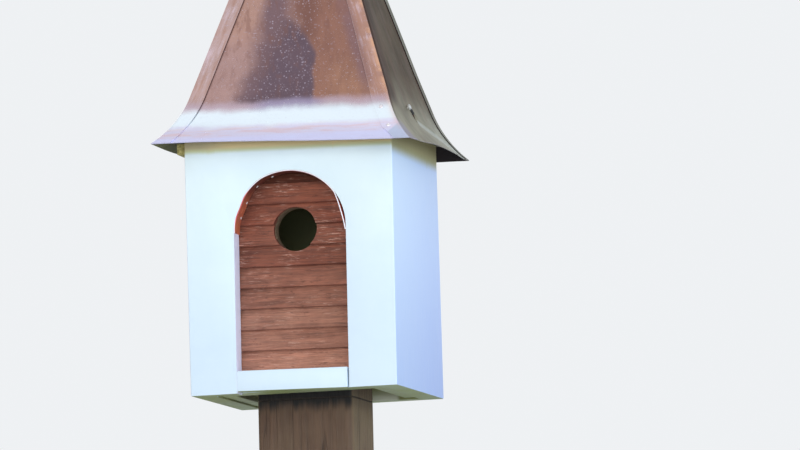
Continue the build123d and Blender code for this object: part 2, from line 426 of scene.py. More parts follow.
@dataclass(frozen=True)
class BoardPaint:
    """White paint on smooth boards: clean faces, dirty where they look down, and painted light and shade."""

    eave: float
    paint: Colour = (0.76, 0.875, 0.915)
    chalk: Colour = (0.715, 0.835, 0.89)
    dirt_and_painted_light: Colour = (0.305, 0.355, 0.085)
    stain_with_painted_light: Colour = (0.84, 0.63, 0.30)
    eave_shade_dark: Colour = (0.36, 0.34, 0.23)
    eave_shade_olive: Colour = (0.60, 0.63, 0.34)
    eave_shade_olive_side: Colour = (0.56, 0.50, 0.22)
    rubbed: Colour = (0.86, 0.90, 0.92)
    side_sky_tint: Colour = (0.88, 0.91, 1.08)
    inside: Colour = (0.25, 0.26, 0.105)
    notch_pale: Colour = (0.90, 0.90, 0.77)
    jamb_bounce: Colour = (0.94, 0.89, 1.02)
    reveal_red_bounce: Colour = (0.80, 0.15, 0.14)
    arch: tuple[float, float] = (0.0518, 1.371)
    roughness: float = 0.45

    def material(self, effects: Effects) -> bpy.types.Material:
        """Builds the paint.

        Args:
            effects: The shared effects.

        Returns:
            The material.
        """
        material, w = open_material("white_board_paint")
        spot = w.position()
        weather = w.place(effects.weather, Position=spot, Scale=16.0)
        streaks = w.place(effects.streaks, Position=spot, Scale=45.0, Low=0.55, High=0.8)
        wear = w.place(effects.edge_wear, Position=spot, Radius=0.0012, Breakup=500.0)
        tone = w.blend(weather["Mottle"], self.paint, self.chalk)
        tone = w.blend(streaks[0] * 0.35, tone, self.chalk)
        tone = w.blend(wear[0] * 0.5, tone, self.rubbed)
        x, y, z = w.split(spot)
        height = z + streaks[0] * 0.002
        side = w.fade(abs(w.looking((1.0, 0.0, 0.0))), 0.5, 0.7)
        # Painted shade: the boards darken a little towards the bottom.
        lower_falloff = w.fade(z, self.eave - 0.045, self.eave - 0.150, 1.0, 0.915)
        cool = w.colour(lower_falloff, lower_falloff**0.8, 1.0)
        tone = w.tint(tone, cool)
        # Painted sky light: the sides get a cooler white, dimmer towards the bottom and the back
        outer = abs(x) > 0.07
        warm = w.fade(z, self.eave - 0.02, self.eave - 0.24, 1.04, 0.78) * w.fade(y, -0.09, 0.09, 1.03, 0.93)
        blue = w.fade(z, self.eave - 0.05, self.eave - 0.24, 1.03, 0.93)
        cool = w.colour(warm, warm**0.9, blue)
        cool = w.tint(w.tint(self.paint, self.side_sky_tint), cool)
        tone = w.blend(side * outer, tone, cool)
        # Painted bounce light: a pinkish lavender on the arch's left side face
        inner = side * (abs(x + 0.052) < 0.004)
        tone = w.blend(inner * 0.9, tone, self.jamb_bounce)
        radius, spring = self.arch
        rise = z - spring
        away = w.place(effects.arch_distance, Position=spot, Spring=spring)[0]
        # Painted red bounce light on the arch's reveal round its head, behind the sprung strip
        head = w.fade(away, radius + 0.0007, radius + 0.0003) * w.fade(rise, 0.0, 0.003)
        head = head * (w.fade(y, -0.0955, -0.0950) * (y < -0.07))
        tone = w.blend(head * 0.92, tone, self.reveal_red_bounce)
        # Painted shade under the eave: an olive band, ochre right under the eave, darker at the front's left end
        reach = self.eave - w.fade(side, 0.0, 1.0, 0.0084, 0.0155)
        eave_shade = w.fade(height, reach, reach + w.fade(side, 0.0, 1.0, 0.0045, 0.011))
        shelter = w.fade(height, self.eave - 0.0055, self.eave - 0.001)
        eave_shade_olive = w.blend(side, self.eave_shade_olive, self.eave_shade_olive_side)
        stain_with_painted_light = w.blend(w.fade(x, -0.050, -0.085, 0.0, 0.6), self.stain_with_painted_light, self.eave_shade_dark)
        ring = w.blend(shelter * w.fade(side, 0.0, 1.0, 1.0, 0.25), eave_shade_olive, stain_with_painted_light)
        tone = w.blend(eave_shade * 0.95, tone, ring)
        # Dirty olive on what looks down, which also stands in for painted green bounce light
        tone = w.blend(weather["Underside"], tone, self.dirt_and_painted_light)
        # Painted shade: the faces inside the box are dark olive, and pale low down round the notch by the post
        reach = w.most(abs(x), abs(y))
        hidden = (reach < 0.082) * (y > -0.07)
        near = w.fade(abs(x), 0.0605, 0.0560, 0.0, 0.9)
        near = near * w.fade(z, self.eave - 0.21, self.eave - 0.23)
        hidden = hidden * (1.0 - weather["Underside"])
        tone = w.blend(hidden, tone, w.blend(near, self.inside, self.notch_pale))
        w.coat("Base Color", tone)
        grit = w.cloud(spot, 1400.0, 2.0)
        brush = w.cloud(w.vector("MULTIPLY", spot, (1.0, 1.0, 0.06)), 700.0, 3.0)
        w.coat("Roughness", w.fade(brush, 0.3, 0.7, self.roughness - 0.06, self.roughness + 0.08))
        w.bump(grit * 0.5 + brush, 0.00008, 0.6)
        return material


@dataclass(frozen=True)
class CedarStain:
    """One lapped board's cedar: reddish brown with pale broken streaks along the grain."""

    number: int
    dark: Colour
    middle: Colour
    pale: Colour
    fleck_share: float
    gloss: float
    fleck: Colour = (0.66, 0.38, 0.29)

    def material(self, effects: Effects) -> bpy.types.Material:
        """Builds the board's own stain.

        Args:
            effects: The shared effects.

        Returns:
            The material.
        """
        material, w = open_material(f"cedar_{self.number:02d}")
        spot = w.position()
        grain = w.place(
            effects.grain, Position=spot, Stretch=Grain.ALONG_X.value, Scale=330.0, Seed=1.7 * self.number
        )
        weather = w.place(effects.weather, Position=spot, Scale=38.0)
        wear = w.place(effects.edge_wear, Position=spot, Radius=0.0008, Breakup=700.0)
        tone = w.blend(grain["Bands"], self.dark, self.middle)
        tone = w.blend(weather["Mottle"] * 0.55, tone, self.pale)
        fine = w.fade(grain["Fibres"], 0.3, 0.7, 0.72, 1.22)
        tone = w.tint(tone, w.colour(fine, fine, fine))
        tone = w.blend(grain["Flecks"] * self.fleck_share, tone, self.fleck)
        pits = w.fade(w.cloud(w.vector("MULTIPLY", spot, (0.22, 1.0, 1.0)), 520.0, 3.0, 0.6), 0.60, 0.70, 0.0, 0.6)
        tone = w.blend(pits, tone, w.tint(self.dark, (0.5, 0.5, 0.5)))
        tone = w.blend(wear[0] * 0.35, tone, self.dark)
        w.coat("Base Color", tone)
        w.coat("Specular IOR Level", self.gloss)
        w.coat("Roughness", w.fade(grain["Fibres"], 0.3, 0.7, 0.62, 0.82))
        relief = grain["Fibres"] + grain["Bands"] * 0.8
        w.bump(relief, 0.00045, 0.8)
        return material


@dataclass(frozen=True)
class PlainTimber:
    """Unpainted sawn wood that the weather hardly reaches."""

    name: str
    dark: Colour
    pale: Colour
    grain: Grain
    scale: float = 260.0

    def material(self, effects: Effects) -> bpy.types.Material:
        """Builds the wood.

        Args:
            effects: The shared effects.

        Returns:
            The material.
        """
        material, w = open_material(self.name)
        spot = w.position()
        grain = w.place(effects.grain, Position=spot, Stretch=self.grain.value, Scale=self.scale, Seed=4.0)
        weather = w.place(effects.weather, Position=spot, Scale=30.0)
        tone = w.blend(grain["Bands"], self.dark, self.pale)
        tone = w.blend(grain["Fibres"] * 0.5, tone, self.dark)
        tone = w.blend(weather["Mottle"] * 0.35, tone, self.dark)
        w.coat("Base Color", tone)
        w.coat("Roughness", w.fade(grain["Fibres"], 0.3, 0.7, 0.68, 0.88))
        w.bump(grain["Fibres"], 0.0004, 0.7)
        return material


@dataclass(frozen=True)
class PostTimber:
    """Weathered brown post with upright grain and drying cracks, its front painted as sunlit and its sides as shaded.
    """

    top: float
    dark: Colour = (0.105, 0.066, 0.045)
    brown: Colour = (0.158, 0.100, 0.068)
    silver: Colour = (0.235, 0.185, 0.122)
    crack: Colour = (0.022, 0.014, 0.010)
    under_box_shade: Colour = (0.007, 0.006, 0.006)
    shaded: Colour = (0.70, 0.59, 0.53)
    sunned: Colour = (1.10, 1.02, 0.80)

    def material(self, effects: Effects) -> bpy.types.Material:
        """Builds the post's wood.

        Args:
            effects: The shared effects.

        Returns:
            The material.
        """
        material, w = open_material("post_timber")
        spot = w.position()
        grain = w.place(effects.grain, Position=spot, Stretch=Grain.ALONG_Z.value, Scale=170.0, Seed=9.0)
        weather = w.place(effects.weather, Position=spot, Scale=14.0)
        wear = w.place(effects.edge_wear, Position=spot, Radius=0.004, Breakup=60.0)
        narrow = w.vector("MULTIPLY", spot, (1.0, 1.0, 0.02))
        split = abs(w.cloud(narrow, 95.0, 2.0, 0.4) - 0.5)
        split = w.fade(split, 0.009, 0.0)
        split = split * w.fade(w.cloud(spot, 9.0, 2.0), 0.42, 0.62)
        tone = w.blend(grain["Bands"], self.dark, self.brown)
        tone = w.blend(weather["Mottle"] * 0.45, tone, self.silver)
        tone = w.blend(grain["Flecks"] * 0.35, tone, self.silver)
        tone = w.blend(wear[0] * 0.4, tone, self.silver)
        tone = w.blend(split, tone, self.crack)
        height = w.split(spot)[2]
        # Painted light: the front is tinted as sunlit and the sides as shaded
        front = w.fade(w.looking((0.0, -1.0, 0.0)), 0.3, 0.8)
        tone = w.blend(front, w.tint(tone, self.sunned), w.tint(tone, self.shaded))
        # Painted shade under the box: the post's top goes nearly black, most on the front
        ragged = height + grain["Bands"] * 0.006
        box_shadow = w.fade(ragged, self.top - 0.011, self.top + 0.0015)
        box_shadow = box_shadow * (front * 0.7 + 0.28)
        tone = w.blend(box_shadow, tone, self.under_box_shade)
        crack = w.fade(abs(height - self.top), 0.0012, 0.0004)
        tone = w.blend(crack * 0.8, tone, self.crack)
        w.coat("Base Color", tone)
        w.coat("Roughness", w.fade(grain["Fibres"], 0.3, 0.7, 0.74, 0.92))
        relief = grain["Fibres"] + grain["Bands"] * 0.9
        relief = relief - split * 2.5
        w.bump(relief, 0.0007, 0.9)
        return material


@dataclass(frozen=True)
class TarnishedCopper:
    """Sheet copper: brown tarnish with plum patches, rain specks, painted reflections on the flare, and duller sides.
    """

    eave: float
    apex: float
    slope: float
    crease: tuple[tuple[float, float], ...]
    umber: Colour = (0.236, 0.119, 0.099)
    amber: Colour = (0.340, 0.172, 0.130)
    amber_low: Colour = (0.420, 0.222, 0.155)
    plum: Colour = (0.147, 0.105, 0.134)
    mauve: Colour = (0.212, 0.138, 0.155)
    blush: Colour = (0.475, 0.300, 0.280)
    peach: Colour = (0.500, 0.300, 0.250)
    lavender: Colour = (0.255, 0.150, 0.158)
    flap_tan: Colour = (0.465, 0.270, 0.222)
    flap_pink: Colour = (0.560, 0.395, 0.380)
    lilac: Colour = (0.40, 0.34, 0.49)
    rose: Colour = (0.55, 0.42, 0.48)
    sheen: Colour = (0.78, 0.85, 0.91)
    flare_sky_reflection: Colour = (0.71, 0.665, 0.825)
    eave_rim_glint: Colour = (0.70, 0.71, 0.98)
    foot_blue: Colour = (0.52, 0.58, 0.74)
    rosy: Colour = (0.74, 0.59, 0.66)
    dull: Colour = (0.080, 0.056, 0.034)
    shadow: Colour = (0.060, 0.035, 0.026)
    dull_foot: Colour = (0.300, 0.272, 0.205)
    side_foot_reflection: Colour = (0.48, 0.485, 0.41)
    lap: Colour = (0.22, 0.215, 0.175)
    crease_ridge_glint: Colour = (0.52, 0.51, 0.44)
    corner: Colour = (0.34, 0.30, 0.42)
    under: Colour = (0.020, 0.015, 0.015)
    under_left: Colour = (0.150, 0.145, 0.060)
    bright: Colour = (0.62, 0.52, 0.56)
    speck: Colour = (0.44, 0.38, 0.46)
    fold_glint: Colour = (0.72, 0.41, 0.27)
    seam_shade: Colour = (0.060, 0.022, 0.014)

    def front_tone(self, w: Wiring, effects: Effects, spot: Signal, bend: Signal) -> Signal:
        """Colour of the faces seen from the front: plum middle, amber right, rosy left, painted reflections on the
        flare.

        Args:
            w: The material's wiring.
            effects: The shared effects.
            spot: Place on the object.
            bend: Slow noise that breaks the patches' borders.

        Returns:
            The colour.
        """
        x, y, z = w.split(spot)
        rise = z - self.eave
        weather = w.place(effects.weather, Position=spot, Scale=24.0)
        streaks = w.place(effects.streaks, Position=spot, Scale=85.0, Low=0.42, High=0.72)
        flap = w.layer("flap")
        warp = bend - 0.5
        loose = x + warp * 0.045
        loose = loose + w.fade(rise, 0.120, 0.045, -0.011, 0.009)
        mild = w.fade(loose, -0.049, -0.026)
        deep = w.fade(loose, -0.030, -0.008)
        high = w.fade(rise, 0.078, 0.122)
        edge = x + high * 0.018
        edge = edge + warp * 0.014
        border = w.fade(edge, 0.0195 - high * 0.012, 0.0245, 1.0, 0.0)
        patch = w.fade(x + warp * 0.03, 0.026, 0.046, 0.2, 1.0)
        tone = w.blend(w.fade(rise, 0.085, 0.055) * patch, self.amber, self.amber_low)
        dusk = w.fade(x, 0.032, 0.014) * w.fade(rise, 0.080, 0.105)
        tone = w.blend(w.most(dusk, streaks[0] * 0.35), tone, self.umber)
        tone = w.blend(w.fade(loose, 0.0, -0.020), tone, w.blend(w.fade(rise, 0.080, 0.110), self.blush, self.peach))
        tone = w.blend(mild * border, tone, self.mauve)
        top = w.fade(rise + warp * 0.03, 0.126, 0.100)
        tone = w.blend(deep * border * top, tone, self.plum)
        tone = w.blend(weather["Mottle"] * 0.16, tone, self.umber)
        runs = w.place(effects.streaks, Position=spot, Scale=190.0, Low=0.50, High=0.66)
        runs = runs[0] * w.fade(rise, 0.055, 0.110, 0.22, 0.45)
        tone = w.blend(runs, tone, self.umber)
        reach = (self.apex - z) * self.slope
        from_hip = reach - x
        strip = w.fade(from_hip, 0.027, 0.017) * w.fade(streaks[0], 0.0, 1.0, 0.8, 0.35)
        tone = w.blend(strip * w.fade(rise, 0.030, 0.062), tone, self.lavender)
        # The folded flaps carry streaks that follow the hips
        hip = reach - abs(x)
        fall = w.join(hip, 0.0, z * 0.16)
        fall = w.cloud(fall, 210.0, 4.0, 0.62)
        cover = w.fade(w.cloud(spot, 62.0, 3.0, 0.6), 0.40, 0.60, 0.1, 0.6)
        folded = w.blend(w.fade(x, -0.02, 0.02), self.flap_pink, self.flap_tan)
        folded = w.blend(w.fade(fall, 0.46, 0.68, 0.0, 0.6), folded, self.amber_low)
        folded = w.blend(w.fade(fall, 0.50, 0.38) * cover, folded, self.rosy)
        shy = w.fade(from_hip, 0.0065, 0.0125, 0.0, 0.55) * w.fade(rise, 0.040, 0.060)
        folded = w.blend(shy * (x > 0.0), folded, self.lavender)
        tone = w.blend(flap * 0.95, tone, folded)
        ragged = rise + warp * 0.012
        # Painted reflection: a lilac and rose edge along the top of the flare
        verge = w.blend(w.fade(x, -0.045, -0.015) * w.fade(x, 0.040, 0.020), self.rose, self.lilac)
        tone = w.blend(w.fade(ragged, 0.0425, 0.0355) * 0.9, tone, verge)
        # Painted reflection of the sky on the flare, a painted glint along the eave's edge, and a blue painted
        # reflection at the right flap's foot
        runs = w.cloud(w.vector("MULTIPLY", spot, (0.10, 1.0, 1.0)), 330.0, 4.0, 0.6)
        foot = w.blend(w.fade(runs + warp * 0.3, 0.44, 0.60), self.flare_sky_reflection, self.rosy)
        low = ragged + (runs - 0.5) * 0.008
        foot = w.blend(w.fade(rise, 0.0085, 0.0030, 0.0, 0.85), foot, self.eave_rim_glint)
        blue = w.fade(rise + from_hip * 0.8, 0.0105, 0.0085)
        blue = w.fade(from_hip, 0.014, 0.011) * blue
        foot = w.blend(blue * (flap * 0.85), foot, self.foot_blue)
        # Painted highlight: a band of sheen across the flare, dimmer on the back
        foot = w.blend(w.fade(low, 0.0115, 0.0185), foot, self.sheen)
        foot = w.blend(w.fade(y, 0.0, 0.06, 0.0, 0.34), foot, self.mauve)
        return w.blend(w.fade(ragged, 0.0362, 0.0268), tone, foot)

    def side_tone(self, w: Wiring, effects: Effects, spot: Signal) -> Signal:
        """Colour of the duller faces at the sides, with painted reflection that makes them paler towards the eave.

        Args:
            w: The material's wiring.
            effects: The shared effects.
            spot: Place on the object.

        Returns:
            The colour.
        """
        _, y, z = w.split(spot)
        rise = z - self.eave
        weather = w.place(effects.weather, Position=spot, Scale=30.0)
        streaks = w.place(effects.streaks, Position=spot, Scale=95.0, Low=0.42, High=0.72)
        # Painted reflection: paler towards the eave
        tone = w.blend(w.fade(rise, 0.072, 0.010), self.dull, self.dull_foot)
        reach = (self.apex - z) * self.slope
        lee = w.fade(y + reach, 0.040, 0.016) * w.fade(rise, 0.026, 0.042)
        tone = w.blend(lee * 0.9, tone, self.shadow)
        # Painted reflection: paler again towards the back, near the eave
        back = w.fade(y, -0.01, 0.105) * w.fade(rise, 0.046, 0.006)
        tone = w.blend(back * 0.85, tone, self.side_foot_reflection)
        flap = w.layer("flap")
        tone = w.blend(flap * 0.8, tone, self.lap)
        shade = w.fade(weather["Mottle"], 0.0, 1.0, 0.80, 1.18)
        tone = w.tint(tone, w.colour(shade, shade, shade * 0.95))
        tone = w.blend(streaks[0] * 0.22, tone, self.umber)
        # Painted highlight along the crease's crest, towards the back corner
        tone = w.blend(self.stroke(w, spot, 1, 0.0045, 0.0060) * 0.8, tone, self.crease_ridge_glint)
        # Painted reflection: a lilac patch by the front corner, near the eave
        near = w.fade(y, -0.082, -0.096) * w.fade(rise, 0.018, 0.009)
        return w.blend(near * 0.55, tone, self.corner)

    def stroke(self, w: Wiring, spot: Signal, leg: int, start_width: float, end_width: float) -> Signal:
        """A soft line along one leg of the crease in the right face.

        Args:
            w: The material's wiring.
            spot: Place on the object.
            leg: Which leg, 0 from the screw down and 1 on to the back corner.
            start_width: Half its width at the start.
            end_width: Half its width at the end.

        Returns:
            The line's mask.
        """
        x, y, z = w.split(spot)
        start, end = Vector(self.crease[leg]), Vector(self.crease[leg + 1])
        line = end - start
        long = line.length
        line.normalize()
        dy, dz = y - start.x, z - start.y
        along = dy * line.x + dz * line.y
        off = dz * line.x - dy * line.y
        off = off + (w.cloud(spot, 160.0, 2.0) - 0.5) * 0.0014
        width = w.fade(along, 0.0, long, start_width, end_width)
        mask = w.fade(abs(off), width, width * 0.35)
        mask = mask * w.fade(along, 0.0, 0.002)
        mask = mask * w.fade(along, long, long * 0.82)
        return mask * (x > 0.0)

    def material(self, effects: Effects) -> bpy.types.Material:
        """Builds the copper.

        Args:
            effects: The shared effects.

        Returns:
            The material.
        """
        material, w = open_material("tarnished_copper")
        spot = w.position()
        bend = w.cloud(spot, 26.0, 4.0, 0.6)
        drops = w.place(effects.speckle, Position=spot, Scale=225.0, Size=0.22, Share=0.32)
        specks = w.place(effects.speckle, Position=spot, Scale=500.0, Size=0.50, Share=0.95)
        dashes = w.place(
            effects.speckle,
            Position=w.vector("MULTIPLY", spot, (0.20, 1.0, 1.0)), Scale=560.0, Size=0.36, Share=0.30,
        )
        wear = w.place(effects.edge_wear, Position=spot, Radius=0.0009, Breakup=240.0)
        seam = w.layer("seam_grime")
        fold = w.layer("fold_rim")
        x, y, z = w.split(spot)
        rise = z - self.eave
        side = w.fade(abs(w.looking((1.0, 0.0, 0.0))), 0.42, 0.6)
        # The flaps on the front keep its tone on their thin free edges too
        ahead = y * -1.0 > abs(x) - 0.004
        flap = w.layer("flap")
        plain = 1.0 - flap * ahead
        side = side * plain
        below = w.fade(w.looking((0.0, 0.0, 1.0)), -0.02, -0.2)
        level = w.vector("MULTIPLY", spot, (1.0, 1.0, 0.0))
        below = below * (w.looking(level) < 0.0)
        below = below * plain
        soffit = w.blend(w.fade(x, -0.09, -0.06), self.under_left, self.under)
        tone = w.blend(side, self.front_tone(w, effects, spot, bend), self.side_tone(w, effects, spot))
        # Rain specks crowd in the plum patch, and short level dashes lie to its left
        crowd = w.fade(x, -0.045, -0.015) * w.fade(x, 0.032, 0.018)
        fine = specks[0] * w.fade(crowd, 0.0, 1.0, 0.40, 0.75)
        spots = w.most(drops[0] * 0.7, fine)
        lines = dashes[0] * w.fade(x, -0.010, -0.035, 0.1, 0.6)
        spots = w.most(spots, lines)
        spots = spots * w.fade(rise, 0.026, 0.036, 0.25, 1.0)
        grains = w.blend(drops[0], self.speck, self.bright)
        tone = w.blend(spots * w.fade(side, 0.0, 1.0, 0.95, 0.16), tone, grains)
        # Painted highlight, in patches, along the fold at the front right hip
        patchy = w.fade(w.cloud(w.vector("MULTIPLY", spot, (0.1, 0.1, 1.0)), 75.0, 3.0), 0.44, 0.58, 0.1, 1.0)
        patchy = patchy * w.fade(rise, 0.036, 0.060, 0.35, 1.0)
        tone = w.blend(fold * patchy, tone, self.fold_glint)
        tone = w.blend(wear[0] * 0.6, tone, self.bright)
        # Painted shadow: dark lines beside the seams and down the crease from the screw, and painted shade by the
        # front hips
        dirt_and_painted_light = w.most(seam, self.stroke(w, spot, 0, 0.0040, 0.0012))
        tone = w.blend(dirt_and_painted_light, tone, self.seam_shade)
        # Painted shade on the sheets' undersides, olive under the left eave as painted bounce light
        tone = w.blend(below, tone, soffit)
        w.coat("Base Color", tone)
        w.coat("Specular IOR Level", 0.07)
        metal = (w.fade(side, 0.0, 1.0, 0.96, 0.25) - dirt_and_painted_light * 0.6).held()
        metal = metal * w.fade(rise, 0.024, 0.040, 0.5, 1.0)
        w.coat("Metallic", metal * (1.0 - below))
        gloss = w.fade(bend, 0.3, 0.7, 0.24, 0.32) + w.fade(rise, 0.050, 0.036, 0.0, -0.06)
        gloss = gloss + spots * 0.2
        gloss = gloss + w.most(side, below) * 0.26
        w.coat("Roughness", (gloss + dirt_and_painted_light * 0.3).held())
        ripple = w.cloud(spot, 55.0, 2.0, 0.4)
        scuffs = w.cloud(w.vector("MULTIPLY", spot, (0.15, 1.0, 1.0)), 900.0, 2.0)
        relief = ripple * 1.6 + scuffs * 0.06
        w.bump(relief + spots * 0.08, 0.0005, 0.7)
        return material


@dataclass(frozen=True)
class StripCopper:
    """Thin strip of red-brown copper, shaded towards the top, with a painted glint on its front edge."""

    spring: float
    radius: float
    red: Colour = (0.84, 0.23, 0.105)
    dark: Colour = (0.46, 0.105, 0.052)
    deep: Colour = (0.11, 0.024, 0.016)
    edge: Colour = (0.90, 0.70, 0.68)
    cut: Colour = (0.62, 0.12, 0.12)
    edge_glint: Colour = (0.80, 0.78, 0.83)

    def material(self, effects: Effects) -> bpy.types.Material:
        """Builds the strip's copper.

        Args:
            effects: The shared effects.

        Returns:
            The material.
        """
        material, w = open_material("strip_copper")
        spot = w.position()
        weather = w.place(effects.weather, Position=spot, Scale=90.0)
        specks = w.place(effects.speckle, Position=spot, Scale=500.0, Size=0.4, Share=0.3)
        front = w.fade(w.looking((0.0, -1.0, 0.0)), 0.3, 0.75)
        # Painted light: the red is brightened as a warm glow on the strip's inner face
        tone = w.blend(weather["Mottle"], self.dark, self.red)
        tone = w.blend(specks[0] * 0.4, tone, self.edge)
        x, _, z = w.split(spot)
        # Painted shade: darker towards the top of the arch
        tone = w.blend(w.fade(z, self.spring + 0.015, self.spring + 0.041, 0.0, 0.92), tone, self.deep)
        # Painted glint: pale on the front edge's outer part and all over the sprung right end, the rest of that edge
        # red cut copper
        away = w.place(effects.arch_distance, Position=spot, Spring=self.spring)[0]
        painted = w.fade(away, self.radius - 0.0011, self.radius - 0.0006)
        painted = w.most(painted, w.fade(x, 0.036, 0.044))
        tone = w.blend(front, tone, w.blend(painted, self.cut, self.edge_glint))
        w.coat("Base Color", tone)
        w.coat("Metallic", w.fade(weather["Mottle"], 0.0, 1.0, 0.15, 0.35))
        w.coat("Roughness", w.fade(weather["Mottle"], 0.0, 1.0, 0.6, 0.42))
        w.bump(w.cloud(spot, 240.0, 2.0), 0.0002, 0.6)
        return material


@dataclass(frozen=True)
class FixingMetal:
    """Metal of a nail, rivet or screw, clean on top and dirty in its hollows."""

    name: str
    clean: Colour
    dirty: Colour
    metallic: float
    roughness: float

    def material(self, effects: Effects) -> bpy.types.Material:
        """Builds the metal.

        Args:
            effects: The shared effects.

        Returns:
            The material.
        """
        material, w = open_material(self.name)
        spot = w.position()
        weather = w.place(effects.weather, Position=spot, Scale=700.0)
        wear = w.place(effects.edge_wear, Position=spot, Radius=0.0004, Breakup=1500.0)
        tone = w.blend(weather["Mottle"] * 0.7, self.clean, self.dirty)
        w.coat("Base Color", w.blend(wear[0], tone, self.clean))
        w.coat("Metallic", self.metallic)
        gloss = w.fade(weather["Mottle"], 0.0, 1.0, self.roughness, self.roughness + 0.2)
        w.coat("Roughness", gloss)
        w.bump(w.cloud(spot, 2500.0, 2.0), 0.00006, 0.5)
        return material


# ---------------------------------------------------------------- mesh work


def loft(rings: Sequence[Sequence[Vector]], caps: bool = True) -> bmesh.types.BMesh:
    """Skins a row of rings that have the same number of points.

    Args:
        rings: The rings, in order.
        caps: Whether the first and last rings are closed over.

    Returns:
        The skin.
    """
    bench = bmesh.new()
    rows = [[bench.verts.new(point) for point in ring] for ring in rings]
    count = len(rows[0])
    for low, high in zip(rows, rows[1:]):
        for i in range(count):
            j = (i + 1) % count
            bench.faces.new((low[i], low[j], high[j], high[i]))
    if caps:
        bench.faces.new(rows[0][::-1])
        bench.faces.new(rows[-1])
    bmesh.ops.recalc_face_normals(bench, faces=bench.faces[:])
    return bench


def ease(bench: bmesh.types.BMesh, width: float, chosen: Callable[[bmesh.types.BMEdge], bool]) -> None:
    """Rounds the chosen edges, with two faces across each.

    Args:
        bench: The mesh.
        width: How far the rounding reaches.
        chosen: Says whether an edge is rounded.
    """
    edges = [edge for edge in bench.edges if edge.is_manifold and chosen(edge)]
    bmesh.ops.bevel(bench, geom=edges, offset=width, segments=2, profile=0.5, affect="EDGES", clamp_overlap=True)


def is_sharp(edge: bmesh.types.BMEdge, degrees: float = 40.0) -> bool:
    """Says whether an edge turns by more than an angle.

    Args:
        edge: The edge.
        degrees: The angle.

    Returns:
        True for a sharp edge.
    """
    return edge.calc_face_angle(0.0) > math.radians(degrees)


def held(value: float) -> float:
    """Returns a value held between 0 and 1."""
    return max(0.0, min(1.0, value))


def bell(value: float, middle: float, width: float) -> float:
    """Returns a soft bump, 1 at its middle and fading away on both sides."""
    return math.exp(-(((value - middle) / width) ** 2))


def circle(parts: int, first: float = 0.0) -> list[tuple[float, float]]:
    """Points of a circle of radius 1.

    Args:
        parts: How many.
        first: Place of the first one, in parts round from the right.

    Returns:
        The points.
    """
    angles = [2 * math.pi * (i + first) / parts for i in range(parts)]
    return [(math.cos(angle), math.sin(angle)) for angle in angles]


def plan_of(low: Vector, high: Vector) -> list[tuple[float, float]]:
    """Returns the four corners of a box's plan."""
    return [(low.x, low.y), (high.x, low.y), (high.x, high.y), (low.x, high.y)]


def rounded_square(half: float, radius: float, flats: int = 8, arcs: int = 5) -> list[tuple[float, float]]:
    """Outline of a square with round corners.

    Args:
        half: Half its width.
        radius: The corners' radius.
        flats: Parts of a straight side.
        arcs: Parts of a corner.

    Returns:
        The outline's points, all round.
    """
    points = []
    for corner in range(4):
        start = math.pi / 2 * corner
        centre = Vector((half - radius, half - radius, 0.0))
        centre.rotate(Matrix.Rotation(start, 3, "Z"))
        for i in range(arcs + 1):
            angle = start + math.pi / 2 * i / arcs
            points.append((centre.x + radius * math.cos(angle), centre.y + radius * math.sin(angle)))
        along = Vector((-2 * (half - radius), 0.0, 0.0))
        along.rotate(Matrix.Rotation(start, 3, "Z"))
        end = points[-1]
        for i in range(1, flats):
            points.append((end[0] + along.x * i / flats, end[1] + along.y * i / flats))
    return points


def facing(origin: Vector, outward: Vector) -> Matrix:
    """Frame whose Z looks out of a surface.

    Args:
        origin: Where it sits.
        outward: The surface's normal.

    Returns:
        The frame's matrix.
    """
    turn = outward.normalized().to_track_quat("Z", "Y").to_matrix().to_4x4()
    return Matrix.Translation(origin) @ turn


def wobble(point: Vector, waves: Vector, seed: float) -> float:
    """Smooth repeatable unevenness.

    Args:
        point: Where it is read.
        waves: Waves to the metre along each axis.
        seed: Which pattern.

    Returns:
        A value from about -1 to 1.
    """
    spot = Vector((point.x * waves.x + seed, point.y * waves.y - seed, point.z * waves.z + 2 * seed))
    return noise.noise(spot)


def arch_unevenness(angle: float) -> float:
    """How far the arch stands off a true half circle: flatter at its left shoulder, a little full above it.

    Args:
        angle: Place round the arch in radians, from its right end.

    Returns:
        The distance, below zero where the arch is flatter.
    """
    turn = math.degrees(angle)
    return 0.0006 * bell(turn, 120.0, 13.0) - 0.0018 * bell(turn, 157.0, 13.0)


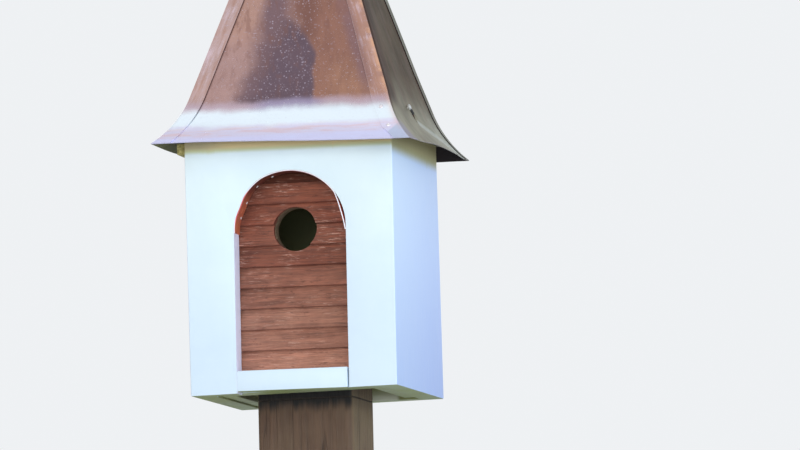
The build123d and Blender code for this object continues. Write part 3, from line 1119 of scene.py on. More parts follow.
class Workshop:
    """Turns meshes into finished pieces that ride on the part's one body."""

    def __init__(self) -> None:
        """Starts the count of pieces."""
        self.made: list[str] = []

    def finish(
        self,
        name: str,
        bench: bmesh.types.BMesh,
        material: bpy.types.Material,
        slot: str,
        stands_for: Sequence[str] = (),
        smooth: float = 32.0,
    ) -> None:
        """Makes an object of a mesh, dresses it and fixes it to the frame.

        Args:
            name: The piece's name.
            bench: The mesh, used up here.
            material: Its finish.
            slot: Name of a material slot; not used.
            stands_for: CAD nodes that it takes the place of.
            smooth: Angle in degrees up to which faces shade as one.
        """
        piece = self.hang(name, bench)
        mesh = piece.data
        mesh.materials.append(material)
        mesh.polygons.foreach_set("use_smooth", [True] * len(mesh.polygons))
        mesh.set_sharp_from_angle(angle=math.radians(smooth))
        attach(piece, BODY)
        if stands_for:
            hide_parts(*stands_for)
        self.made.append(name)
        LOG.info("%s: %d faces for %s", name, len(mesh.polygons), ", ".join(stands_for) or "no node")

    @staticmethod
    def hang(name: str, bench: bmesh.types.BMesh) -> bpy.types.Object:
        """Makes an object of a mesh and hangs it in the scene.

        Args:
            name: The object's name.
            bench: The mesh, used up here.

        Returns:
            The object.
        """
        mesh = bpy.data.meshes.new(name)
        bench.to_mesh(mesh)
        bench.free()
        item = bpy.data.objects.new(name, mesh)
        bpy.context.scene.collection.objects.link(item)
        return item

    def work(self, kind: str, *benches: bmesh.types.BMesh, **settings: object) -> bmesh.types.BMesh:
        """Puts a mesh through one of Blender's modifiers.

        Args:
            kind: The modifier's type.
            *benches: The mesh and, if the modifier takes one, its tool, all used up here.
            **settings: The modifier's settings.

        Returns:
            What comes out.
        """
        items = [self.hang(f"blank_{i}", bench) for i, bench in enumerate(benches)]
        step = items[0].modifiers.new("step", kind)
        if len(items) > 1:
            step.object = items[1]
        for name, value in settings.items():
            setattr(step, name, value)
        worked = bmesh.new()
        result = items[0].evaluated_get(bpy.context.evaluated_depsgraph_get())
        worked.from_mesh(result.to_mesh())
        result.to_mesh_clear()
        for item in items:
            mesh = item.data
            bpy.data.objects.remove(item)
            bpy.data.meshes.remove(mesh)
        return worked

    def carve(self, bench: bmesh.types.BMesh, cutter: bmesh.types.BMesh) -> bmesh.types.BMesh:
        """Takes one solid out of another.

        Args:
            bench: The solid that stays, used up here.
            cutter: The solid that is taken out, used up here.

        Returns:
            What is left.
        """
        carved = self.work("BOOLEAN", bench, cutter, solver="EXACT")
        bmesh.ops.remove_doubles(carved, verts=carved.verts[:], dist=1e-6)
        return carved

    @staticmethod
    def recoat(node: str, material: bpy.types.Material) -> None:
        """Gives a CAD node a better finish.

        Args:
            node: The node's name.
            material: The finish.
        """
        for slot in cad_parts[node].material_slots:
            slot.material = material
        LOG.info("%s: CAD shape kept, recoated with %s", node, material.name)


# ---------------------------------------------------------------- post


@dataclass(frozen=True)
class FootCut:
    """The box's underside and the post's head, sawn a little out of level."""

    slope: float = 0.0175
    drop: float = 0.0007

    def at(self, x: float) -> float:
        """Returns how far the cut lies above the level one at a place along the front."""
        return self.slope * x - self.drop


@dataclass
class PostMount:
    """The square post and the block on it that goes up into the box."""

    shop: Workshop
    cut: FootCut = FootCut()
    edge: float = 0.006
    joint: float = 0.0006
    unevenness: float = 0.0004
    lean: float = -0.0018
    tilt_reach: float = 0.009

    def rings(self, low: float, high: float, half: float, step: float, seed: float) -> list[list[Vector]]:
        """Slightly uneven rings up a length of post.

        Args:
            low: Its foot.
            high: Its top.
            half: Half its width.
            step: Height between rings.
            seed: Which unevenness.

        Returns:
            The rings, with eased ends.
        """
        count = max(2, round((high - low) / step))
        levels = [low, low + self.joint]
        levels += [low + (high - low) * i / count for i in range(1, count)]
        levels += [high - self.joint, high]
        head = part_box("post")[1].z
        rings = []
        for i, level in enumerate(levels):
            inset = self.joint if i in (0, len(levels) - 1) else 0.0
            ring = []
            for x, y in rounded_square(half - inset, self.edge - inset):
                point = Vector((x, y, level))
                dip = self.unevenness * abs(wobble(point, Vector((32.0, 32.0, 2.5)), seed))
                share = max(0.0, 1.0 - abs(level - head) / self.tilt_reach)
                tilted = level + self.cut.at(x) * share
                shift = self.lean * min(1.0, level / head)
                ring.append(Vector((x * (1 - dip / half) + shift, y * (1 - dip / half), tilted)))
            rings.append(ring)
        return rings

    def build(self, effects: Effects) -> None:
        """Builds the post and its block.

        Args:
            effects: The shared effects.
        """
        timber = PostTimber(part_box("post")[1].z).material(effects)
        for node, step, seed in (("post", 0.02, 3.0), ("mount_block", 0.006, 5.0)):
            low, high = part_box(node)
            bench = loft(self.rings(low.z, high.z, high.x, step, seed))
            self.shop.finish(f"{node}_timber", bench, timber, "post_wood", (node,), 40.0)


# ---------------------------------------------------------------- box body


@dataclass
class BoxBody:
    """The four mitred walls, the sill rail and the boards that close the box."""

    shop: Workshop
    cut: FootCut = FootCut()
    rail_drop: float = 0.0010
    racked: tuple[float, float] = (0.0012, -0.0006)
    corner: float = 0.0010
    soft_edge: float = 0.0007
    board_edge: float = 0.0006
    opening_edge: float = 0.0005
    arch_steps: int = 72
    side_strip: float = 0.013
    front_clearance: float = 0.0055
    half: float = field(init=False)
    board: float = field(init=False)
    foot: float = field(init=False)
    top: float = field(init=False)

    def __post_init__(self) -> None:
        """Reads the sizes of the walls, arch and notch from the frame."""
        low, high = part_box("front_wall")
        self.half = high.x
        self.board = high.y - low.y
        self.foot = low.z
        self.top = high.z
        low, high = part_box("arch_liner")
        self.arch_radius = -low.x
        self.arch_rise = high.z - self.arch_radius - self.foot
        self.notch_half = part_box("bottom_board")[1].x - self.side_strip
        self.notch_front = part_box("mount_block")[0].y - self.front_clearance

    def rack(self, point: Vector, level: float, share: float) -> Vector:
        """Puts a place of the plan on the racked box, where all corners but the front right one have moved.

        Args:
            point: The place in plan.
            level: Its height.
            share: How far it moves to the right.

        Returns:
            The place.
        """
        return Vector((point.x + (share if point.x < 0.0 or point.y > 0.0 else 0.0), point.y, level))

    def wall_plan(self) -> list[Vector]:
        """Plan of the front wall: mitred ends and round outer corners."""
        inner = self.half - self.board
        centre = self.half - self.corner
        arc = []
        for i in range(4):
            angle = math.radians(45.0 * i / 3)
            arc.append((centre + self.corner * math.sin(angle), -centre - self.corner * math.cos(angle)))
        right = arc + [(inner, -inner)]
        return [Vector((x, y, 0.0)) for x, y in right] + [Vector((-x, y, 0.0)) for x, y in right[::-1]]

    def wall(self, quarter_turns: int) -> bmesh.types.BMesh:
        """One wall with its outer bottom and top edges eased.

        Args:
            quarter_turns: How far round from the front, in quarter turns.

        Returns:
            The wall.
        """
        turn = Matrix.Rotation(math.pi / 2 * quarter_turns, 3, "Z")
        plan = [turn @ point for point in self.wall_plan()]
        outward = turn @ Vector((0.0, -1.0, 0.0))
        foot = [self.rack(p, self.foot + self.cut.at(p.x), self.racked[0]) for p in plan]
        bench = loft([foot, [self.rack(p, self.top, self.racked[1]) for p in plan]])

        def outer_rim(edge: bmesh.types.BMEdge) -> bool:
            """Picks the level edges on the wall's outer face."""
            a, b = (vert.co for vert in edge.verts)
            level = abs(a.z - b.z) < 0.1 * (a - b).length
            return level and min(a.dot(outward), b.dot(outward)) > self.half - 2 * self.corner

        ease(bench, self.soft_edge, outer_rim)
        return bench

    def front(self) -> bmesh.types.BMesh:
        """The front wall with its round-headed opening and eased opening edge."""
        bench = self.wall(0)
        outline = [(self.arch_radius, self.foot - 2 * OVERSHOOT), (self.arch_radius, self.foot + self.arch_rise)]
        for i in range(1, self.arch_steps):
            angle = math.pi * i / self.arch_steps
            reach = self.arch_radius + arch_unevenness(angle)
            outline.append((reach * math.cos(angle), self.foot + self.arch_rise + reach * math.sin(angle)))
        outline += [(-self.arch_radius, self.foot + self.arch_rise), (-self.arch_radius, self.foot - 2 * OVERSHOOT)]
        depths = (-self.half - OVERSHOOT, -self.half + self.board + OVERSHOOT)
        cutter = loft([[Vector((x, y, z)) for x, z in outline] for y in depths])
        bench = self.shop.carve(bench, cutter)

        def opening_rim(edge: bmesh.types.BMEdge) -> bool:
            """Picks the opening's front edge."""
            for vert in edge.verts:
                if abs(vert.co.y + self.half) > NEAR or abs(vert.co.x) > self.arch_radius + NEAR:
                    return False
                if vert.co.z < self.foot + self.cut.at(vert.co.x) + self.soft_edge - NEAR:
                    return False
            return is_sharp(edge)

        ease(bench, self.opening_edge, opening_rim)
        return bench

    def slab(
        self, outline: Sequence[tuple[float, float]], low: float, high: float, width: float, tilted: bool = False
    ) -> bmesh.types.BMesh:
        """A level board with all its edges eased.

        Args:
            outline: Its plan.
            low: Its underside.
            high: Its top.
            width: How far the easing reaches.
            tilted: Whether its underside follows the foot's cut.

        Returns:
            The board.
        """
        under = [Vector((x, y, low + (self.cut.at(x) if tilted else 0.0))) for x, y in outline]
        bench = loft([under, [Vector((x, y, high)) for x, y in outline]])
        ease(bench, width, is_sharp)
        return bench

    def build(self, effects: Effects) -> None:
        """Builds the walls, rail and boards.

        Args:
            effects: The shared effects.
        """
        arch = (self.arch_radius, self.foot + self.arch_rise)
        paint = BoardPaint(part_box("roof_front")[0].z, arch=arch).material(effects)
        plain = PlainTimber("inner_timber", (0.16, 0.105, 0.06), (0.36, 0.25, 0.15), Grain.ALONG_X).material(effects)
        pale = PlainTimber("floor_timber", (0.20, 0.22, 0.10), (0.46, 0.46, 0.29), Grain.ALONG_Y).material(effects)
        self.shop.finish("front_wall_board", self.front(), paint, "white_board", ("front_wall",))
        for turns, side in ((1, "right"), (2, "back"), (3, "left")):
            node = f"{side}_wall"
            self.shop.finish(f"{node}_board", self.wall(turns), paint, "white_board", (node,))
        low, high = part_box("sill_rail")
        rail = self.slab(plan_of(low, high), low.z - self.rail_drop, high.z, self.board_edge)
        self.shop.finish("sill_rail_board", rail, paint, "white_board", ("sill_rail",))
        low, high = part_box("bottom_board")
        reach, front = self.notch_half, self.notch_front
        outline = (
            (low.x + self.racked[0], low.y), (high.x, low.y), (high.x + self.racked[0], high.y), (reach, high.y),
            (reach, front), (-reach, front), (-reach, high.y), (low.x + self.racked[0], high.y),
        )
        bottom = self.slab(outline, low.z, high.z, self.board_edge, True)
        self.shop.finish("bottom_board_notched", bottom, paint, "white_board", ("bottom_board",))
        self.shop.recoat("nest_floor", pale)
        self.shop.recoat("inner_front", plain)


# ---------------------------------------------------------------- lapped boards


@dataclass
class LappedFront:
    """The lapped cedar boards behind the arch, each sawn a little unevenly."""

    shop: Workshop
    count: int = 11
    thickness: float = 0.0044
    stations: int = 96
    butt_round: float = 0.0005
    roughness: float = 0.00022
    crooked: float = 0.00035
    entrance_radius: float = 0.020

    def __post_init__(self) -> None:
        """Reads the boards' pitch, and puts the entrance at the arch's springing height."""
        self.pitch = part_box("lap_board_02")[0].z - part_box("lap_board_01")[0].z
        low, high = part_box("arch_liner")
        self.entrance_height = high.z + low.x

    def stain_with_painted_light(self, number: int) -> CedarStain:
        """One board's cedar colour, with painted light on the lower boards and painted shade on the top two.

        Args:
            number: The board, counted from the bottom.

        Returns:
            Its stain.
        """
        # Painted light: boards near the sill are paler and redder; painted shade darkens boards 10 and 11 and drops
        # their flecks
        lit_share = (1.0, 0.95, 1.0, 0.55, 0.42, 0.05, 0.15, 0.0, 0.0, 0.0, 0.0)[number - 1]
        shade = (1.18, 1.0, 0.96, 0.92, 1.0, 0.90, 0.98, 1.04, 1.04, 0.46, 0.12)[number - 1]

        def tint(dim_tone: Colour, lit_tone: Colour) -> Colour:
            """Mixes the dim and the lit colour for this board, at its level of painted light."""
            return tuple((a + (b - a) * lit_share) * shade for a, b in zip(dim_tone, lit_tone))

        return CedarStain(
            number,
            tint((0.110, 0.028, 0.015), (0.210, 0.080, 0.050)),
            tint((0.235, 0.064, 0.034), (0.380, 0.155, 0.098)),
            tint((0.310, 0.094, 0.050), (0.500, 0.235, 0.155)),
            fleck_share=(0.5, 0.5, 0.5, 0.5, 0.5, 0.9, 0.95, 0.95, 0.95, 0.35, 0.0)[number - 1],
            gloss=0.2 if number > 9 else 0.5,
        )

    def board(self, number: int) -> bmesh.types.BMesh:
        """One board, its face and butt slightly uneven.

        Args:
            number: The board, counted from the bottom.

        Returns:
            The board.
        """
        low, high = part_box(f"lap_board_{number:02d}")
        height = high.z - low.z
        slope = self.thickness / self.pitch
        rings = []
        for i in range(self.stations + 1):
            x = low.x + (high.x - low.x) * i / self.stations
            section = [(self.thickness, 0.0), (self.butt_round, 0.0), (0.0, self.butt_round)]
            section += [(slope * height * k / 10, height * k / 10) for k in range(1, 11)]
            section.append((slope * height + self.thickness, height))
            ring = []
            for k, (depth, rise) in enumerate(section):
                spot = Vector((x, 0.01 * number, low.z + rise))
                crook = self.crooked * abs(wobble(Vector((x, 0.0, number)), Vector((22.0, 1.0, 1.0)), 0.7 * number))
                point = Vector((x, low.y + depth, low.z + rise))
                if 1 <= k <= 12:
                    point.y += self.roughness * abs(wobble(spot, Vector((60.0, 1.0, 500.0)), 2.0 * number))
                if k <= 2:
                    point.z += crook + 0.4 * self.crooked * abs(wobble(spot, Vector((230.0, 1.0, 1.0)), number))
                ring.append(point)
            rings.append(ring)
        bench = loft(rings)
        middle = (low.z + high.z) / 2
        if abs(middle - self.entrance_height) < height / 2 + self.entrance_radius:
            bench = self.shop.carve(bench, self.entrance(low.y - OVERSHOOT, high.y + OVERSHOOT))
        return bench

    def entrance(self, front: float, back: float) -> bmesh.types.BMesh:
        """Cutter for the round entrance.

        Args:
            front: Where it starts.
            back: Where it ends.

        Returns:
            The cutter.
        """
        radius, height = self.entrance_radius, self.entrance_height
        ring = circle(72, 0.5)
        return loft([[Vector((radius * x, y, height + radius * z)) for x, z in ring] for y in (front, back)])

    def build(self, effects: Effects) -> None:
        """Builds every board.

        Args:
            effects: The shared effects.
        """
        for number in range(1, self.count + 1):
            node = f"lap_board_{number:02d}"
            material = self.stain_with_painted_light(number).material(effects)
            self.shop.finish(f"{node}_cedar", self.board(number), material, "cedar", (node,), 50.0)


# ---------------------------------------------------------------- arch lining


@dataclass
class ArchLining:
    """The copper strip round the arch, sprung off it on the right, and its brads."""

    shop: Workshop
    thickness: float = 0.0010
    tail: float = 0.0035
    sprung_tail: float = 0.0042
    lift_angle: float = 36.0
    gap: float = 0.0021
    ripple: float = 0.00018
    brad_angles: tuple[float, ...] = (166.9, 149.9, 129.9, 111.2)
    brad_setback: float = 0.0142
    brad_radius: float = 0.0012

    def __post_init__(self) -> None:
        """Reads the arch's size from the frame."""
        low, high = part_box("arch_liner")
        self.radius = -low.x - self.thickness / 2
        self.spring = high.z + low.x
        self.brad_depth = low.y + self.brad_setback

    def path(self) -> list[tuple[Vector, Vector]]:
        """Middle line of the strip with its outward direction, in the plane of the front."""
        left = Vector((-1.0, 0.0, 0.0))
        line = [(Vector((-self.radius, 0.0, self.spring - self.tail * (1 - i / 3))), left) for i in range(3)]
        turn = math.radians(self.lift_angle)
        for i in range(64):
            angle = math.pi + (turn - math.pi) * i / 63
            out = Vector((math.cos(angle), 0.0, math.sin(angle)))
            line.append((Vector((0.0, 0.0, self.spring)) + out * (self.radius + arch_unevenness(angle)), out))
        sprung = turn * self.radius + self.sprung_tail
        for i in range(1, 29):
            share = i / 28
            above = sprung * (1 - share) - self.sprung_tail
            angle = max(0.0, above / self.radius)
            out = Vector((math.cos(angle), 0.0, math.sin(angle)))
            slack = self.radius - self.gap * math.sin(math.pi * share)
            line.append((Vector((0.0, 0.0, self.spring + min(0.0, above))) + out * slack, out))
        return line

    def strip(self) -> bmesh.types.BMesh:
        """The strip, its front edge faintly rippled and its corners eased."""
        low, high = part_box("arch_liner")
        half = self.thickness / 2
        soft = 0.0002
        section = [
            (half - soft, low.y), (half, low.y + soft), (half, high.y - soft), (half - soft, high.y),
            (soft - half, high.y), (-half, high.y - soft), (-half, low.y + soft), (soft - half, low.y),
        ]
        rings = []
        for middle, out in self.path():
            wave = self.ripple * abs(wobble(middle, Vector((120.0, 1.0, 120.0)), 4.0))
            ring = []
            for offset, depth in section:
                forward = 1.0 if depth < (low.y + high.y) / 2 else 0.0
                shift = out * (offset - wave * forward * 0.5)
                ring.append(Vector((middle.x + shift.x, depth + wave * forward, middle.z + shift.z)))
            rings.append(ring)
        return loft(rings)

    def brad(self, angle: float) -> bmesh.types.BMesh:
        """A small domed brad head on the strip's inner face.

        Args:
            angle: Where it sits round the arch, in degrees from the right.

        Returns:
            The brad.
        """
        turn = math.radians(angle)
        out = Vector((math.cos(turn), 0.0, math.sin(turn)))
        seat = Vector((0.0, self.brad_depth, self.spring))
        seat += out * (self.radius + arch_unevenness(turn) - self.thickness / 2)
        profile = [(0.45, -0.35), (0.5, 0.0), (1.0, 0.05), (1.0, 0.28), (0.72, 0.52), (0.3, 0.62)]
        return turned(profile, self.brad_radius, 20, facing(seat, -out))

    def build(self, effects: Effects) -> None:
        """Builds the strip and its brads.

        Args:
            effects: The shared effects.
        """
        copper = StripCopper(self.spring, self.radius + self.thickness / 2).material(effects)
        self.shop.finish("arch_liner_strip", self.strip(), copper, "copper_strip", ("arch_liner",), 40.0)
        steel = FixingMetal("brad_metal", (0.98, 0.93, 0.90), (0.62, 0.50, 0.44), 0.2, 0.40).material(effects)
        for number, angle in enumerate(self.brad_angles, 1):
            self.shop.finish(f"liner_brad_{number}", self.brad(angle), steel, "copper_strip", (), 35.0)


def turned(profile: Sequence[tuple[float, float]], size: float, parts: int, seat: Matrix) -> bmesh.types.BMesh:
    """A small turned head, closed at both ends.

    Args:
        profile: Radius and height of each ring, in shares of the size.
        size: The head's radius.
        parts: Sides of each ring.
        seat: Frame it sits in, Z outward.

    Returns:
        The head.
    """

    def ring(radius: float, height: float) -> list[Vector]:
        """Returns one ring of the head."""
        return [seat @ (Vector((radius * x, radius * y, height)) * size) for x, y in circle(parts)]

    return loft([ring(radius, height) for radius, height in profile])


# ---------------------------------------------------------------- roof


class RoofSide(Enum):
    """The roof's four faces, counted in quarter turns from the front."""

    FRONT = 0
    RIGHT = 1
    BACK = 2
    LEFT = 3

    def turn(self) -> Matrix:
        """Returns the rotation that carries the front face onto this one."""
        return Matrix.Rotation(math.pi / 2 * self.value, 3, "Z")


@dataclass
class RoofForm:
    """Outline of the bell-cast roof: a straight rafter line with a tangent flare at its foot."""

    rise: float = 0.316
    flare_rise: float = 0.042
    flare_run: float = 0.0282
    sheet: float = 0.0008
    seam: float = 0.013
    tip_half: float = 0.006
    tip_skirt: float = 0.014

    def __post_init__(self) -> None:
        """Works out the rafter line and the flare's arc from the front sheet's eave."""
        low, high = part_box("roof_front")
        self.eave = low.z
        self.eave_half = high.x
        self.apex = self.eave + self.rise
        self.flare = self.eave + self.flare_rise
        self.run = self.eave_half - self.flare_run
        self.slant = self.apex - self.flare
        length = math.hypot(self.run, self.slant)
        self.out = self.slant / length
        self.up = self.run / length
        chord = math.hypot(self.flare_run, self.flare_rise)
        self.radius = chord**2 / (2 * (self.flare_run * self.out - self.flare_rise * self.up))
        self.centre = (self.run + self.radius * self.out, self.flare + self.radius * self.up)
        self.panel_top = self.apex - self.tip_half * self.slant / self.run

    def half_width(self, height: float, level: float) -> float:
        """Half the roof's width.

        Args:
            height: Where, in metres above the ground.
            level: Sheets outward from the copper's underside.

        Returns:
            Half the width there.
        """
        radius = self.radius - level * self.sheet
        if height >= self.centre[1] - radius * self.up:
            return (self.apex + level * self.sheet / self.up - height) * self.run / self.slant
        return self.centre[0] - math.sqrt(radius**2 - (self.centre[1] - height) ** 2)

    def normal(self, height: float) -> tuple[float, float]:
        """Outward and upward parts of the face's normal.

        Args:
            height: Where, in metres above the ground.

        Returns:
            The two parts.
        """
        drop = self.centre[1] - height
        if drop <= self.radius * self.up:
            return self.out, self.up
        rise = drop / self.radius
        return math.sqrt(1 - rise**2), rise

    def levels(self, fine: float, coarse: float) -> list[float]:
        """Heights of a sheet's rows, close together in the flare.

        Args:
            fine: Row height up to just over the flare.
            coarse: Row height above it.

        Returns:
            The heights from the eave to the panels' top.
        """
        rows = []
        height = self.eave
        while height < self.panel_top - coarse / 2:
            rows.append(height)
            height += fine if height < self.flare + 0.022 else coarse
        return rows + [self.panel_top]


@dataclass
class CopperRoof:
    """Four folded sheets with seams at the hips, the tip cap, the fixings that show, and a dark drop as painted
    shadow under each screw.
    """

    shop: Workshop
    form: RoofForm = field(default_factory=RoofForm)
    fold: float = 0.0011
    deck_gap: float = 0.0002
    buckle: float = 0.00055
    left_seam_lift: float = 0.0003
    corner_droop: float = 0.0033
    back_droop: float = 0.0001
    left_lift: float = 0.0016
    eave_bow: float = 0.0030
    near_bow: float = 0.0009
    push: float = 0.0033
    back_push: float = 0.0011
    lean: float = 0.0038
    crease: float = 0.0014
    rivet_radius: float = 0.0019
    screw_radius: float = 0.0025
    screw_seat: tuple[float, float] = (-0.0262, 1.4819)
    shadow_drop_seat: tuple[float, float] = (-0.0137, 1.4795)
    crease_start: tuple[float, float] = (-0.0135, 1.4795)
    crease_end: tuple[float, float] = (0.112, 1.450)
    crease_waist: tuple[float, float] = (-0.0095, 1.4697)

    def sag(self, point: Vector) -> float:
        """How far knocks have moved the eaves up: a drooped corner and a bowed right eave.

        Args:
            point: A place on the sound roof.

        Returns:
            The rise, below zero for a droop.
        """
        above = point.z - self.form.eave
        fading = max(0.0, 1.0 - above / 0.060)
        fading = fading * fading * (3 - 2 * fading)
        right = held((point.x + 0.05) / 0.152)
        front = held((0.14 - point.y) / 0.26)
        drop = right**1.15 * (self.back_droop + self.corner_droop * front)
        drop -= self.left_lift * front * held((0.025 - point.x) / 0.125)
        bow = 0.0
        if abs(point.x) > 0.06:
            along = (point.y + 0.075) / 0.195
            if 0.0 < along < 1.0:
                share = 1.0 if point.x > 0.0 else 0.7
                outward = min(1.0, (abs(point.x) - 0.06) / 0.045)
                bow = share * self.eave_bow * math.sin(math.pi * along) ** 1.5 * outward
            near = (point.y + 0.13) / 0.17
            if point.x > 0.0 and 0.0 < near < 1.0:
                bow += self.near_bow * math.sin(math.pi * near) * min(1.0, (point.x - 0.06) / 0.045)
        return fading * (bow - drop)

    def shove(self, point: Vector) -> float:
        """How far the knocked skirt stands to the right of the sound one, below zero to the left.

        Args:
            point: A place on the sound roof.

        Returns:
            The shift along the front.
        """
        above = point.z - self.form.eave
        front = held((0.13 - point.y) / 0.25)
        right = held((point.x + 0.12) / 0.24)
        low = held((0.044 - above) / 0.042)
        high = held(above / 0.034) * held((0.26 - above) / 0.10)
        bent = 0.25 + 0.75 * held((above - 0.075) / 0.070)
        shift = -right * (self.push * front + self.back_push * (1.0 - front)) * low
        return shift + self.lean * bent * right * (1.0 - front) * high

    def settle(self, point: Vector) -> Vector:
        """Returns where a place on the sound roof lies on the knocked one."""
        return Vector((point.x + self.shove(point), point.y, point.z + self.sag(point)))

    def flap_width(self, side: RoofSide, sign: float, height: float) -> float:
        """Width of a folded flap, a little uneven on the two front hips.

        Args:
            side: The sheet that the flap belongs to.
            sign: Below zero for the flap at the sheet's left end.
            height: Height above the ground.

        Returns:
            The width.
        """
        above = height - self.form.eave
        width = self.form.seam
        if side is RoofSide.RIGHT and sign < 0.0:
            width += 0.0023 * held((0.115 - above) / 0.075)
            width += 0.0012 * held((0.020 - above) / 0.008)
            if above < 0.0112:
                width -= 0.0030 * min(1.0, (0.0112 - above) / 0.0070)
        elif side is RoofSide.LEFT:
            width += 0.0008 + 0.0012 * held((0.030 - above) / 0.020)
            width += 0.0022 * held((0.010 - above) / 0.010)
        return width

    def deck(self) -> bmesh.types.BMesh:
        """The board under the sheets, cut to the flare's inside and clear of the knocked corner."""
        low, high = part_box("roof_base")
        rings = []
        for i in range(7):
            height = low.z + (high.z - low.z) * i / 6
            ring = []
            for x, y in rounded_square(self.form.half_width(height, 0.0), 0.0012, 28, 3):
                drop = max(0.0, -self.sag(Vector((x, y, height))))
                fit = (self.form.half_width(height + drop, 0.0) - self.deck_gap) / self.form.half_width(height, 0.0)
                ring.append(Vector((x * fit + self.shove(Vector((x, y, height))), y * fit, height)))
            rings.append(ring)
        return loft(rings)

    def buckled(self, side: RoofSide, across: float, height: float) -> float:
        """How far a face stands proud or hollow, none at the hips.

        Args:
            side: The face.
            across: Place along the face, to the right seen from outside.
            height: Height above the ground.

        Returns:
            The distance along the face's normal.
        """
        half = self.form.half_width(height, 1.0)
        room = held((half - abs(across) - 0.014) / 0.03)
        spot = Vector((across, 0.0, height))
        swell = wobble(spot, Vector((17.0, 1.0, 9.0)), 3.1 + 5.0 * side.value)
        swell += 0.35 * wobble(spot, Vector((45.0, 1.0, 30.0)), 8.4 + side.value)
        offset = self.buckle * swell * room
        if side is RoofSide.RIGHT:
            offset += self.creased(across, height) * room
        return offset

    def creased(self, across: float, height: float) -> float:
        """The crease that runs from the screw in the right face to its back corner.

        Args:
            across: Place along the face, towards the back.
            height: Height above the ground.

        Returns:
            The distance along the face's normal.
        """
        total = 0.0
        for start, end, depth in (
            (self.crease_start, self.crease_waist, 1.0),
            (self.crease_waist, self.crease_end, 0.55),
        ):
            line = Vector(end) - Vector(start)
            spot = Vector((across, height)) - Vector(start)
            share = spot.dot(line) / line.length_squared
            if not 0.0 < share <= 1.0:
                continue
            side = (line.x * spot.y - line.y * spot.x) / line.length
            strength = depth * min(1.0, share * 5.0, (1.0 - share) * 5.0 + 0.3)
            total += strength * (bell(side, 0.004, 0.0035) - bell(side, 0.0, 0.0022))
        return self.crease * total

    def outline(self, side: RoofSide, height: float, columns: int) -> list[tuple[Vector, float, float]]:
        """One row of a sheet's outer face, in the front's position.

        Args:
            side: The face that the sheet covers.
            height: The row's height.
            columns: Parts of the middle of the face.

        Returns:
            Points, each with its painted seam shadow and its share of flap, 2 on the fold itself.
        """
        form = self.form
        tuck, face, over = (form.half_width(height, level) for level in (0.0, 1.0, 2.0))
        left = side in (RoofSide.RIGHT, RoofSide.BACK)
        right = side in (RoofSide.LEFT, RoofSide.BACK)
        shrink = min(1.0, face / 0.045)
        near = [0.0015, 0.003, 0.006, 0.010, 0.0122, 0.0128, 0.0132, 0.0138, 0.0146, 0.0158, 0.018, 0.022]
        near = [step * shrink for step in near]
        fold = self.fold * shrink
        start = -over if left else -tuck
        end = over if right else tuck
        inner_left = -tuck + near[-1]
        inner_right = tuck - near[-1]
        stations = [-tuck + step for step in near]
        stations += [inner_left + (inner_right - inner_left) * i / columns for i in range(1, columns)]
        stations += [tuck - step for step in near[::-1]]
        row: list[tuple[Vector, float, float]] = []

        def seam_shade(across: float) -> float:
            """Painted shadow beside a neighbour's folded seam, and painted shade in the shelter of the front hips."""
            seams = []
            hip = -tuck if side is RoofSide.RIGHT else tuck if side is RoofSide.LEFT else None
            shelter = 0.0 if hip is None else 0.9 * max(0.0, 1.0 - abs(across - hip) / 0.010)
            shelter *= held((height - form.eave - 0.010) / 0.030)
            if side is RoofSide.FRONT:
                seams = [
                    -(tuck - self.flap_width(RoofSide.LEFT, 1.0, height)),
                    tuck - self.flap_width(RoofSide.RIGHT, -1.0, height),
                ]
            elif side is RoofSide.RIGHT:
                seams = [tuck - form.seam]
            elif side is RoofSide.LEFT:
                seams = [-(tuck - form.seam)]
            share = 0.0
            for seam in seams:
                inward = abs(seam) - abs(across) if seam * across > 0 else 1.0
                low = held((height - form.eave - 0.016) / 0.014)
                faint = side is RoofSide.FRONT and seam > 0.0
                width = 0.0005 if faint else 0.0005 + 0.0008 * low
                weight = 0.45 + 0.55 * low
                if faint:
                    weight = 0.70 * held((height - form.eave - 0.032) / 0.018)
                share = max(share, weight * (1.0 - max(0.0, inward - 0.0002) / width))
            return max(shelter, min(1.0, share))

        def flap_points(sign: float) -> list[tuple[Vector, float, float]]:
            """Flap from its free edge to the fold."""
            free = max(tuck - self.flap_width(side, sign, height), 0.0001)
            lift = self.left_seam_lift if side is RoofSide.LEFT else 0.0
            points = []
            for i in range(9):
                depth = free + (face - fold - free) * i / 8
                rise = lift * (1 - i / 8) ** 2 * min(1.0, (height - form.eave) / 0.03)
                points.append((Vector((sign * (over + rise), -depth, height)), 0.0, 1.0 + (i / 8) ** 6))
            for i in range(1, 4):
                angle = math.radians(90.0 * i / 4)
                turn = Vector((math.cos(angle) * fold, math.sin(angle) * fold, 0.0))
                points.append((Vector((sign * (over - fold + turn.x), -(face - fold + turn.y), height)), 0.0, 2.0))
            return points

        if left:
            row += flap_points(-1.0)
            row.append((Vector((start + fold, -face, height)), 0.0, 0.0))
        else:
            row.append((Vector((start, -face, height)), seam_shade(start), 0.0))
        for station in stations:
            row.append((Vector((station, -face, height)), seam_shade(station), 0.0))
        if right:
            row.append((Vector((end - fold, -face, height)), 0.0, 0.0))
            row += flap_points(1.0)[::-1]
        else:
            row.append((Vector((end, -face, height)), seam_shade(end), 0.0))
        return row

